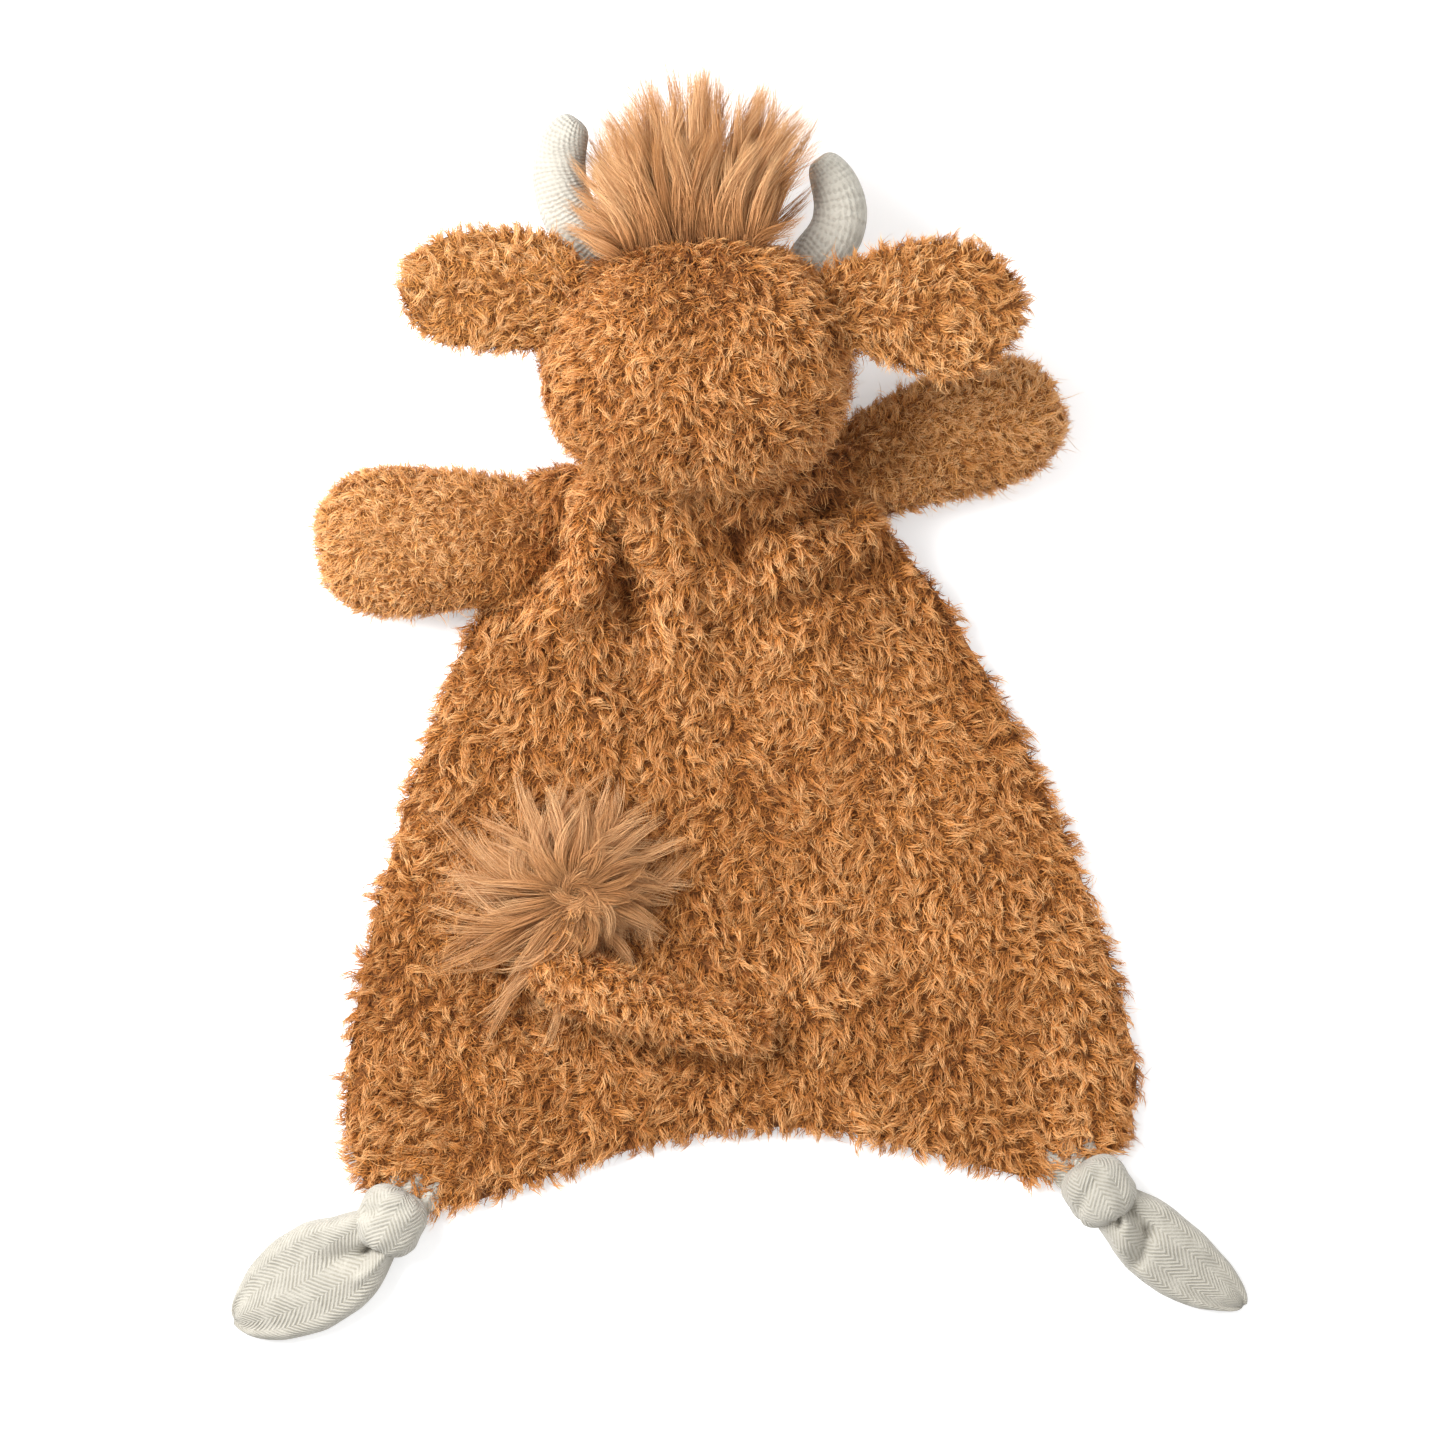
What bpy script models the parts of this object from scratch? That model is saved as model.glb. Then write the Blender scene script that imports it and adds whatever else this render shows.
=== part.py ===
"""Comfort blanket lovey: a soft cow's head on a two-layer plush blanket, with arms, a tail and corner tabs.

The toy lies face down with its back up (+Z), its head towards +Y. The origin is on the blanket's underside,
at the middle of its centre-back seam. All lengths are in metres. Each stuffed form is a closed fabric cover
round its filling, and pieces that touch keep a gap of GAP.
"""

import math
from dataclasses import dataclass

import bmesh
import bpy
import numpy as np
from mathutils import Matrix, Vector

# Clearances
GAP = 0.0003
FLOOR_CUT = 0.0005
OVERRUN = 0.04
NOTCH_ROOM = 0.0015

# Blanket
BLANKET_LENGTH = 0.167
BLANKET_HALF_WIDTH = 0.102
SEAM_BOW = 0.004
BLANKET_TURN = math.radians(3.8)
LEFT_CORNER_DROP = 0.0155
RIGHT_CORNER_DROP = 0.0205
LINING_THICKNESS = 0.0022
PILE_THICKNESS = 0.0045
RIM_FORWARD = 0.001
RIM_ABOVE = 0.0012
BLANKET_COLUMNS = 26
BLANKET_ROWS = 15
BLANKET_WIDTH_SHARES = (
    (0, 0.40), (0.07, 0.43), (0.13, 0.49), (0.19, 0.56), (0.30, 0.655), (0.42, 0.75),
    (0.60, 0.865), (0.78, 0.95), (0.92, 0.99), (1, 0.95),
)
HEM_SHARES = ((0, 0), (0.12, 0.06), (0.27, 0.27), (0.50, 0.66), (0.72, 0.97), (0.88, 1), (1, 0.45))
HEM_POWER = 3
RAMP_SHARE = 0.42
FLAT_NECK_SHARE = 0.16
SIDE_FALL_SHARE = 0.55
RIM_THICKNESS_SHARE = 0.45
SEAM_THICKNESS_SHARE = 0.75
MOUNT_SHARE = 0.5
FOLD_START_SHARES = (
    (0.42, 0.52), (-0.70, 0.10), (-0.50, 0.08), (-0.12, 0.04), (0.50, 0.08), (0.66, 0.15), (-0.93, 0.55),
)
FOLD_END_SHARES = (
    (0.84, 0.78), (-0.46, 0.36), (-0.33, 0.25), (-0.16, 0.26), (0.80, 0.20), (0.24, 0.27), (-0.86, 0.80),
)
FOLD_HEIGHTS = (0.0040, 0.0035, -0.0040, 0.0022, -0.0030, 0.0028, 0.0015)
FOLD_WIDTH_SHARES = (0.11, 0.11, 0.08, 0.13, 0.08, 0.10, 0.08)


# Head
HEAD_WIDTH = 0.076
HEAD_LENGTH = 0.063
HEAD_DEPTH = 0.058
HEAD_WALL = 0.003
HEAD_POWER = 2.3
NECK_DIRECTION = Vector((0, -0.848, -0.53))
HEAD_COLUMNS = 20
HEAD_RINGS = 12

# Muzzle
MUZZLE_WIDTH = 0.048
MUZZLE_LENGTH = 0.036
MUZZLE_DEPTH = 0.029
MUZZLE_REACH = 0.013
MUZZLE_DROP = 0.007
MUZZLE_WALL = 0.0022

# Eyes and nostrils
EYE_RADIUS = 0.0042
EYE_RELIEF = 0.0013
EYE_DIRECTION = Vector((0.45, 0.62, -0.65))
NOSTRIL_RADIUS = 0.0026
NOSTRIL_RELIEF = 0.0009
NOSTRIL_DIRECTION = Vector((0.42, 0.66, -0.40))

# Topknot
TOPKNOT_LENGTH = 0.038
TOPKNOT_ROOT_DEPTH = 0.008
TOPKNOT_HALF_WIDTH = 0.0265
TOPKNOT_HALF_HEIGHT = 0.0125
TOPKNOT_WIDTH_SHARES = ((0, 0.66), (0.25, 0.76), (0.55, 0.94), (0.85, 1), (1, 0.95))
TOPKNOT_HEIGHT_SHARES = ((0, 0.85), (0.5, 1), (1, 0.75))

# Horns
LEFT_HORN_LENGTH = 0.0375
RIGHT_HORN_LENGTH = 0.0300
HORN_RADIUS = 0.0067
HORN_WALL = 0.0014
HORN_ROOT_ROUND = 0.0032
HORN_ROOT_TUCK = 0.0009
LEFT_HORN_DIRECTION = Vector((-0.63, 0.75, -0.2))
RIGHT_HORN_DIRECTION = Vector((0.70, 0.66, -0.2))
LEFT_HORN_HEADING = math.radians(97)
RIGHT_HORN_HEADING = math.radians(83)
HORN_BEND_SHARE = 0.82
HORN_SHARES = ((0, 0.5), (0.14, 0.84), (0.32, 1), (0.6, 0.98), (0.85, 0.78), (1, 0.62))

# Ears
LEFT_EAR_LENGTH = 0.0375
RIGHT_EAR_LENGTH = 0.0420
EAR_HALF_WIDTH = 0.0145
EAR_HALF_HEIGHT = 0.0038
EAR_ROOT_ROUND = 0.0023
EAR_BACK_WALL = 0.0034
EAR_LINING_WALL = 0.0015
EAR_DIRECTION = Vector((0.88, 0.28, 0.3))
LEFT_EAR_HEADING = math.radians(165)
RIGHT_EAR_HEADING = math.radians(3)
EAR_BEND_SHARE = 0.5
EAR_WIDTH_SHARES = ((0, 0.62), (0.15, 0.72), (0.4, 0.96), (0.7, 1), (1, 0.88))
EAR_HEIGHT_SHARES = ((0, 0.6), (0.25, 0.9), (0.6, 1), (1, 0.9))

# Arms
ARM_LENGTH = 0.0530
ARM_HALF_WIDTH = 0.0178
ARM_HALF_HEIGHT = 0.0115
ARM_WALL = 0.0028
ARM_ROOT_ROUND = 0.003
ARM_ROOT_DROP = 0.0022
ARM_AXIS_DEPTH = 0.0015
LEFT_ARM_HEADING = math.radians(181)
RIGHT_ARM_HEADING = math.radians(17)
LEFT_SHOULDER_SHARES = (-0.93, 0.082)
RIGHT_SHOULDER_SHARES = (0.92, 0.008)
ARM_WIDTH_SHARES = ((0, 0.76), (0.25, 0.84), (0.6, 1), (0.85, 1), (1, 0.9))
ARM_HEIGHT_SHARES = ((0, 0.45), (0.2, 0.80), (0.45, 1), (0.8, 1), (1, 0.9))
ARM_BEND_SHARE = 0.5
NOTCH_LENGTH_SHARE = 0.55

# Tail
TAIL_RADIUS = 0.0055
TAIL_WALL = 0.002
TAIL_LIFT = 0.0005
TAIL_ROOT_SHARES = (0.03, 0.847)
TAIL_END_SHARES = (-0.40, 0.62)
TAIL_LENGTH = 0.048
TAIL_HEADING = math.radians(168)
TAIL_BEND_SHARES = (0.7, 1.5)
TAIL_SHARES = ((0, 0.6), (0.3, 0.8), (0.6, 1), (1, 1))
TUFT_HALF_WIDTH = 0.028
TUFT_HALF_LENGTH = 0.025
TUFT_HALF_HEIGHT = 0.009

# Corner tabs
TAB_SHARES = (0.88, 0.965)
STRAP_LENGTH = 0.0105
STRAP_HALF_WIDTH = 0.006
STRAP_HALF_HEIGHT = 0.0015
STRAP_ROOT_ROUND = 0.0016
TAB_AXIS_DEPTH = 0.0015
LEFT_STRAP_HEADING = math.radians(242)
RIGHT_STRAP_HEADING = math.radians(-60)
LEFT_LEAF_HEADING = math.radians(213)
RIGHT_LEAF_HEADING = math.radians(-38)
KNOT_HALF_LENGTH = 0.0085
KNOT_HALF_WIDTH = 0.0095
KNOT_HALF_HEIGHT = 0.008
KNOT_WIDTH_SHARES = ((0, 0.9), (0.3, 1.04), (0.5, 0.86), (0.7, 1.04), (1, 0.9))
LEAF_LENGTH = 0.048
LEFT_LEAF_HALF_WIDTH = 0.0130
RIGHT_LEAF_HALF_WIDTH = 0.0105
LEAF_HALF_HEIGHT = 0.004
LEAF_BEND_SHARE = 0.4
LEAF_WIDTH_SHARES = ((0, 0.38), (0.22, 0.5), (0.45, 0.98), (0.65, 1), (0.85, 0.8), (1, 0.6))
LEAF_HEIGHT_SHARES = ((0, 1), (0.4, 1), (1, 0.8))

# Colours, as sRGB hex, and roughness
CARAMEL_PLUSH = ("C68A55", 0.95)
PALE_HAIR = ("CFA072", 0.8)
CREAM_FABRIC = ("E2DED0", 0.9)
LINING_PLUSH = ("BE8450", 0.95)
FIBRE_FILLING = ("F0EFEA", 1.0)
BLACK_THREAD = ("1B1715", 0.5)

UP = Vector((0, 0, 1))
BACK = Vector((0, 1, 0))
LEFT, RIGHT = -1, 1
EVEN_SHARES = ((0, 1), (1, 1))
SHARE_STEP = 1e-4
ON_PLANE_SHARE = 1e-4


def share_at(shares, place):
    """The value of a table of (place, value) shares at a place between 0 and 1."""
    places, values = zip(*shares)
    return float(np.interp(place, places, values))


def heading(angle):
    """The level direction at this angle from +X."""
    return Vector((math.cos(angle), math.sin(angle), 0))


# Scene objects


def clear_scene():
    for obj in list(bpy.data.objects):
        bpy.data.objects.remove(obj, do_unlink=True)


def new_collection(name):
    collection = bpy.data.collections.new(name)
    bpy.context.scene.collection.children.link(collection)
    return collection


def linear(hex_colour):
    """A six-digit sRGB colour as linear red, green, blue and alpha."""
    channels = [int(hex_colour[i : i + 2], 16) / 255 for i in (0, 2, 4)]
    return [c / 12.92 if c <= 0.04045 else ((c + 0.055) / 1.055) ** 2.4 for c in channels] + [1.0]


def paint(piece, finish):
    """Gives the piece its own material."""
    colour, roughness = finish
    material = bpy.data.materials.new(piece.name)
    material.use_nodes = True
    shader = material.node_tree.nodes["Principled BSDF"]
    shader.inputs["Base Color"].default_value = linear(colour)
    shader.inputs["Roughness"].default_value = roughness
    shader.inputs["Metallic"].default_value = 0.0
    piece.data.materials.append(material)


@dataclass
class Hinge:
    """A joint: an empty on its axis, with X along it, that the moving pieces are parented to."""

    name: str
    point: Vector
    axis: Vector
    collection: bpy.types.Collection
    carrier: "Hinge | None" = None

    def __post_init__(self):
        turn = self.axis.to_track_quat("X", "Z").to_matrix().to_4x4()
        self.matrix = Matrix.Translation(self.point) @ turn
        self.empty = bpy.data.objects.new(self.name, None)
        self.empty.matrix_basis = self.matrix
        if self.carrier:
            self.empty.parent = self.carrier.empty
            self.empty.matrix_basis = self.carrier.matrix.inverted() @ self.matrix
        self.collection.objects.link(self.empty)


@dataclass
class Workshop:
    """The collections that hold the pieces and the cutters."""

    pieces: bpy.types.Collection
    cutters: bpy.types.Collection

    def piece(self, name, mesh, finish, hinge=None):
        """An object for a mesh that is modelled in place, on its hinge's empty if it moves."""
        mesh.polygons.foreach_set("use_smooth", [True] * len(mesh.polygons))
        piece = bpy.data.objects.new(name, mesh)
        self.pieces.objects.link(piece)
        paint(piece, finish)
        if hinge:
            mesh.transform(hinge.matrix.inverted())
            piece.parent = hinge.empty
        return piece

    def cutter(self, name, mesh):
        """An object that only cuts others."""
        cutter = bpy.data.objects.new(name, mesh)
        cutter.hide_render = True
        cutter.display_type = "WIRE"
        self.cutters.objects.link(cutter)
        return cutter


def give_wall(piece, thickness):
    """Turns an open surface into a fabric wall that grows inwards."""
    wall = piece.modifiers.new("wall", "SOLIDIFY")
    wall.thickness = thickness
    wall.offset = -1


def cut(piece, cutter):
    difference = piece.modifiers.new(cutter.name, "BOOLEAN")
    difference.operation = "DIFFERENCE"
    difference.object = cutter


# Soft forms


@dataclass
class Ball:
    """A rounded ball with three half sizes. A power of 2 is an ellipsoid, and more is boxier."""

    centre: Vector
    half_sizes: Vector
    power: float = 2
    on_floor: bool = False

    def point(self, unit, inset=0.0):
        """Where a point of the unit sphere goes, on the surface moved inwards by inset."""
        reach = sum(abs(value) ** self.power for value in unit) ** (1 / self.power)
        sizes = (size - inset for size in self.half_sizes)
        return self.centre + Vector(value / reach * size for value, size in zip(unit, sizes))

    def seat(self, direction):
        """The point of the surface in that direction, and the surface's normal there."""
        point = self.point(direction)
        local = [(a - b) / size for a, b, size in zip(point, self.centre, self.half_sizes)]
        slopes = [abs(v) ** (self.power - 1) / size for v, size in zip(local, self.half_sizes)]
        normal = Vector(math.copysign(slope, v) for slope, v in zip(slopes, local))
        return point, normal.normalized()

    def seam_shift(self, unit, side):
        return side


@dataclass
class Form:
    """A stuffed form of oval sections along a bent line from its root to its tip."""

    spine: tuple
    half_width: float
    half_height: float
    width_shares: tuple = EVEN_SHARES
    height_shares: tuple = EVEN_SHARES
    bluntness: float = 2.4
    on_floor: bool = False
    up: Vector = UP

    def middle(self, along):
        """The point of the bent line at this share of its length."""
        points = list(self.spine)
        while len(points) > 1:
            points = [a.lerp(b, along) for a, b in zip(points, points[1:])]
        return points[0]

    def length(self):
        steps = [self.middle(i / 20) for i in range(21)]
        return sum((b - a).length for a, b in zip(steps, steps[1:]))

    def axes(self, along):
        """The directions across, over and along the form there."""
        ahead = (self.middle(along + SHARE_STEP) - self.middle(along - SHARE_STEP)).normalized()
        across = self.up.cross(ahead).normalized()
        return across, ahead.cross(across), ahead

    def point(self, unit, inset=0.0):
        """Where a point of the unit sphere goes, on the surface moved inwards by inset."""
        trim = inset / self.length()
        along = trim + (1 - 2 * trim) * (1 + unit.z) / 2
        ring = max(0, 1 - abs(unit.z) ** self.bluntness) ** (1 / self.bluntness)
        round_angle = math.atan2(unit.y, unit.x)
        across, over, _ = self.axes(along)
        width = self.half_width * share_at(self.width_shares, along) - inset
        height = self.half_height * share_at(self.height_shares, along) - inset
        return (
            self.middle(along)
            + across * (width * ring * math.cos(round_angle))
            + over * (height * ring * math.sin(round_angle))
        )

    def seam_shift(self, unit, side):
        across, over, ahead = self.axes((1 + unit.z) / 2)
        return across * side.x + over * side.y + ahead * side.z


def finished_mesh(bm, name):
    """The mesh of closed geometry, with all its faces turned outwards."""
    bmesh.ops.recalc_face_normals(bm, faces=bm.faces[:])
    if bm.calc_volume(signed=True) < 0:
        bmesh.ops.reverse_faces(bm, faces=bm.faces[:])
    mesh = bpy.data.meshes.new(name)
    bm.to_mesh(mesh)
    bm.free()
    return mesh


def surface(name, shape, columns, rings, inset=0.0, wall=0.0, sides=(), open_root=False):
    """The mesh of a form or ball. One that is open at its root, or on one side of a seam, can have a wall."""
    bm = bmesh.new()
    bmesh.ops.create_uvsphere(bm, u_segments=columns, v_segments=rings, radius=1)
    for side in sides:
        other = [face for face in bm.faces if face.calc_center_median().dot(side) < 0]
        bmesh.ops.delete(bm, geom=other, context="FACES")
    if open_root:
        root = [vert for vert in bm.verts if vert.co.z < ON_PLANE_SHARE - 1]
        bmesh.ops.delete(bm, geom=root, context="VERTS")
    lining = set()
    if wall:
        extruded = bmesh.ops.extrude_face_region(bm, geom=bm.faces[:])["geom"]
        lining = {item for item in extruded if isinstance(item, bmesh.types.BMVert)}
    for vert in bm.verts:
        unit = vert.co.copy()
        depth = wall if vert in lining else inset
        vert.co = shape.point(unit, depth)
        for side in sides:
            if abs(unit.dot(side)) < ON_PLANE_SHARE:
                vert.co += shape.seam_shift(unit, side) * (GAP / 2)
        if shape.on_floor and inset >= 0:
            vert.co.z = max(vert.co.z, depth)
    return finished_mesh(bm, name)


def wedge(name, start, ahead, near_half_width, far_half_width, length, height):
    """An upright prism that widens from its start, to cut a notch."""
    bm = bmesh.new()
    bmesh.ops.create_cube(bm, size=2)
    across = UP.cross(ahead)
    for vert in bm.verts:
        far = vert.co.x > 0
        half_width = far_half_width if far else near_half_width
        plan = start + ahead * (length if far else 0) + across * (half_width * vert.co.y)
        vert.co = Vector((plan.x, plan.y, height * vert.co.z))
    return finished_mesh(bm, name)


# Blanket


@dataclass
class Fold:
    """A soft ridge, or a hollow where its height is negative, between two (across, along) shares."""

    start_shares: tuple
    end_shares: tuple
    height: float
    width_share: float

    def rise(self, across, along):
        start, end, here = (Vector(p) for p in (self.start_shares, self.end_shares, (across, along)))
        run = end - start
        t = min(1, max(0, (here - start).dot(run) / run.length_squared))
        away = (here - start - run * t).length / self.width_share
        return self.height * math.exp(-away * away)


FOLDS = [Fold(*sizes) for sizes in zip(FOLD_START_SHARES, FOLD_END_SHARES, FOLD_HEIGHTS, FOLD_WIDTH_SHARES)]


@dataclass
class Blanket:
    """The blanket's surface, in shares across (-1 left to 1 right) and along (0 neck to 1 hem)."""

    neck_rise: float
    total_thickness: float = LINING_THICKNESS + GAP + PILE_THICKNESS

    def plan(self, across, along):
        down = heading(BLANKET_TURN - math.pi / 2)
        right = heading(BLANKET_TURN)
        corner_drop = LEFT_CORNER_DROP if across < 0 else RIGHT_CORNER_DROP
        drop = corner_drop * share_at(HEM_SHARES, abs(across)) * max(0, along) ** HEM_POWER
        half_width = BLANKET_HALF_WIDTH * share_at(BLANKET_WIDTH_SHARES, along)
        bow = SEAM_BOW * ((1 - across * across) * math.sin(math.pi * along) - math.sin(math.pi * MOUNT_SHARE))
        return down * (BLANKET_LENGTH * (along - MOUNT_SHARE) + drop) + right * (half_width * across + bow)

    def rise(self, across, along):
        """The height of the underside over the floor."""
        t = min(1, max(0, along / RAMP_SHARE))
        ramp = 1 - t * t * (3 - 2 * t)
        rise = self.neck_rise * ramp * (1 - SIDE_FALL_SHARE * across * across)
        fold_share = min(1, max(0, along / FLAT_NECK_SHARE)) ** 2
        rise += fold_share * sum(fold.rise(across, along) for fold in FOLDS)
        return max(0, rise - FLOOR_CUT)

    def base(self, across, along):
        return self.plan(across, along) + UP * self.rise(across, along)

    def point(self, across, along, height=0.0):
        """A point this high over the underside, square to it."""
        right = self.base(across + SHARE_STEP, along) - self.base(across - SHARE_STEP, along)
        up_seam = self.base(across, along - SHARE_STEP) - self.base(across, along + SHARE_STEP)
        return self.base(across, along) + right.cross(up_seam).normalized() * height

    def top(self, across, along):
        return self.point(across, along, self.total_thickness)

    def sheet(self, name, columns, low, high, height, thickness):
        """A sheet between two shares across, this high over the underside, with a thinner rim and seam."""
        bm = bmesh.new()
        bmesh.ops.create_grid(bm, x_segments=columns, y_segments=BLANKET_ROWS, size=1)
        bmesh.ops.triangulate(bm, faces=bm.faces[:], quad_method="FIXED")
        extruded = bmesh.ops.extrude_face_region(bm, geom=bm.faces[:])["geom"]
        top = {item for item in extruded if isinstance(item, bmesh.types.BMVert)}
        for vert in bm.verts:
            across = low + (high - low) * (1 + vert.co.x) / 2
            along = (1 - vert.co.y) / 2
            on_seam = low * high == 0 and abs(across) < ON_PLANE_SHARE
            on_rim = abs(across) > 1 - ON_PLANE_SHARE or along > 1 - ON_PLANE_SHARE
            share = SEAM_THICKNESS_SHARE if on_seam else RIM_THICKNESS_SHARE if on_rim else 1
            vert.co = self.point(across, along, height + (thickness * share if vert in top else 0))
            if on_seam:
                vert.co += heading(BLANKET_TURN) * ((low + high) * GAP / 2)
        return finished_mesh(bm, name)


def build_blanket(shop, blanket, notches):
    """The lining and the two halves of the plush back, with notches where limbs are set in."""
    half_columns = BLANKET_COLUMNS // 2
    over = LINING_THICKNESS + GAP
    sheets = (
        ("blanket_lining", BLANKET_COLUMNS, LEFT, RIGHT, 0.0, LINING_THICKNESS, LINING_PLUSH),
        ("blanket_back_left", half_columns, LEFT, 0, over, PILE_THICKNESS, CARAMEL_PLUSH),
        ("blanket_back_right", half_columns, 0, RIGHT, over, PILE_THICKNESS, CARAMEL_PLUSH),
    )
    for name, columns, low, high, height, thickness, finish in sheets:
        mesh = blanket.sheet(name, columns, low, high, height, thickness)
        sheet = shop.piece(name, mesh, finish)
        for notch in notches:
            cut(sheet, notch)


# Head


def head_shape():
    """The head's ball, the nod axis at the neck, and the blanket's rise that meets it."""
    neck = Blanket(0).plan(0, 0)
    ball = Ball(Vector(), Vector((HEAD_WIDTH, HEAD_LENGTH, HEAD_DEPTH)) / 2, HEAD_POWER)
    seat, normal = ball.seat(NECK_DIRECTION)
    axis_offset = seat + normal * (math.hypot(RIM_FORWARD, RIM_ABOVE) + GAP)
    ball.centre.z = MUZZLE_REACH + HEAD_DEPTH / 2
    nod_height = ball.centre.z + axis_offset.z
    ball.centre.y = neck.y - RIM_FORWARD - axis_offset.y
    ball.centre.x = neck.x
    nod_point = Vector((neck.x, neck.y - RIM_FORWARD, nod_height))
    neck_rise = nod_height + RIM_ABOVE + FLOOR_CUT - Blanket(0).total_thickness
    return ball, nod_point, neck_rise


def muzzle_shape(head):
    half_sizes = Vector((MUZZLE_WIDTH, MUZZLE_LENGTH, MUZZLE_DEPTH)) / 2
    centre = Vector((head.centre.x, head.centre.y - MUZZLE_DROP, half_sizes.z - FLOOR_CUT))
    return Ball(centre, half_sizes, on_floor=True)


def seated_disc(ball, direction, radius, relief):
    """An embroidered disc that stands a little proud of a ball."""
    seat, normal = ball.seat(direction)
    return Form((seat - normal * relief, seat, seat + normal * relief), radius, radius, bluntness=2, up=BACK)


def build_head(shop, head, muzzle, nod):
    """The head's panels and filling, the muzzle and the embroidered face."""
    left, right, back = Vector((-1, 0, 0)), Vector((1, 0, 0)), UP
    panels = (
        ("head_back_left", (left, back)),
        ("head_back_right", (right, back)),
        ("face_panel", (-back,)),
    )
    for name, sides in panels:
        mesh = surface(name, head, HEAD_COLUMNS, HEAD_RINGS, wall=HEAD_WALL, sides=sides)
        shop.piece(name, mesh, CARAMEL_PLUSH, nod)
    core = surface("head_stuffing", head, HEAD_COLUMNS, HEAD_RINGS, inset=HEAD_WALL + GAP)
    shop.piece("head_stuffing", core, FIBRE_FILLING, nod)
    head_cutter = shop.cutter("head_room", surface("head_room", head, HEAD_COLUMNS, HEAD_RINGS, inset=-GAP))

    cover = shop.piece("muzzle_cover", surface("muzzle_cover", muzzle, 16, 10), CREAM_FABRIC, nod)
    give_wall(cover, MUZZLE_WALL)
    cut(cover, head_cutter)
    filling = surface("muzzle_stuffing", muzzle, 16, 10, inset=MUZZLE_WALL + GAP)
    cut(shop.piece("muzzle_stuffing", filling, FIBRE_FILLING, nod), head_cutter)
    muzzle_cutter = shop.cutter("muzzle_room", surface("muzzle_room", muzzle, 16, 10, inset=-GAP))

    for word, side in (("left", LEFT), ("right", RIGHT)):
        mirror = Vector((side, 1, 1))
        eye = seated_disc(head, EYE_DIRECTION * mirror, EYE_RADIUS, EYE_RELIEF)
        disc = shop.piece(f"{word}_eye", surface("eye", eye, 10, 6), BLACK_THREAD, nod)
        cut(disc, head_cutter)
        nostril = seated_disc(muzzle, NOSTRIL_DIRECTION * mirror, NOSTRIL_RADIUS, NOSTRIL_RELIEF)
        disc = shop.piece(f"{word}_nostril", surface("nostril", nostril, 10, 6), BLACK_THREAD, nod)
        cut(disc, muzzle_cutter)
    return head_cutter


def build_topknot(shop, head, head_cutter, nod):
    """The long hair on the crown, as its outer shape."""
    crown, _ = head.seat(BACK)
    root = crown - BACK * TOPKNOT_ROOT_DEPTH
    hair = Form(
        (root, crown + BACK * TOPKNOT_LENGTH),
        TOPKNOT_HALF_WIDTH,
        TOPKNOT_HALF_HEIGHT,
        TOPKNOT_WIDTH_SHARES,
        TOPKNOT_HEIGHT_SHARES,
        bluntness=4,
    )
    cut(shop.piece("topknot", surface("topknot", hair, 18, 10), PALE_HAIR, nod), head_cutter)


def head_joint(shop, head, word, name, direction, root_round, nod):
    """A level hinge just off the head's surface, with the root's place and the surface's normal there."""
    seat, normal = head.seat(direction)
    point = seat + normal * (root_round + GAP)
    axis = normal.cross(UP).normalized()
    return Hinge(f"{word}_{name}_hinge", point, axis, shop.pieces, nod), seat + normal * GAP, normal


def build_horn(shop, head, word, direction, length, angle, nod):
    hinge, seat, normal = head_joint(shop, head, word, "horn", direction, HORN_ROOT_ROUND, nod)
    root = seat - normal * HORN_ROOT_TUCK
    bend = root + normal * (length * HORN_BEND_SHARE)
    spine = (root, bend, root + heading(angle) * length)
    horn = Form(spine, HORN_RADIUS, HORN_RADIUS, HORN_SHARES, HORN_SHARES, bluntness=5)
    cover = surface(f"{word}_horn_cover", horn, 10, 14, wall=HORN_WALL, open_root=True)
    shop.piece(cover.name, cover, CREAM_FABRIC, hinge)
    filling = surface(f"{word}_horn_stuffing", horn, 10, 14, inset=HORN_WALL + GAP)
    shop.piece(filling.name, filling, FIBRE_FILLING, hinge)


def build_ear(shop, head, word, side, length, angle, nod):
    direction = EAR_DIRECTION * Vector((side, 1, 1))
    hinge, root, normal = head_joint(shop, head, word, "ear", direction, EAR_ROOT_ROUND, nod)
    level = Vector((normal.x, normal.y, 0)).normalized()
    bend = root + level * (length * EAR_BEND_SHARE)
    tip = root + heading(angle) * length
    ear = Form(
        (root, bend, tip), EAR_HALF_WIDTH, EAR_HALF_HEIGHT, EAR_WIDTH_SHARES, EAR_HEIGHT_SHARES, bluntness=3.6
    )
    panels = (
        (f"{word}_ear_back", BACK, EAR_BACK_WALL, CARAMEL_PLUSH),
        (f"{word}_ear_lining", -BACK, EAR_LINING_WALL, CREAM_FABRIC),
    )
    for name, panel_side, thickness, finish in panels:
        shop.piece(name, surface(name, ear, 12, 8, wall=thickness, sides=(panel_side,)), finish, hinge)


# Limbs set into the blanket's edge


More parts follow.
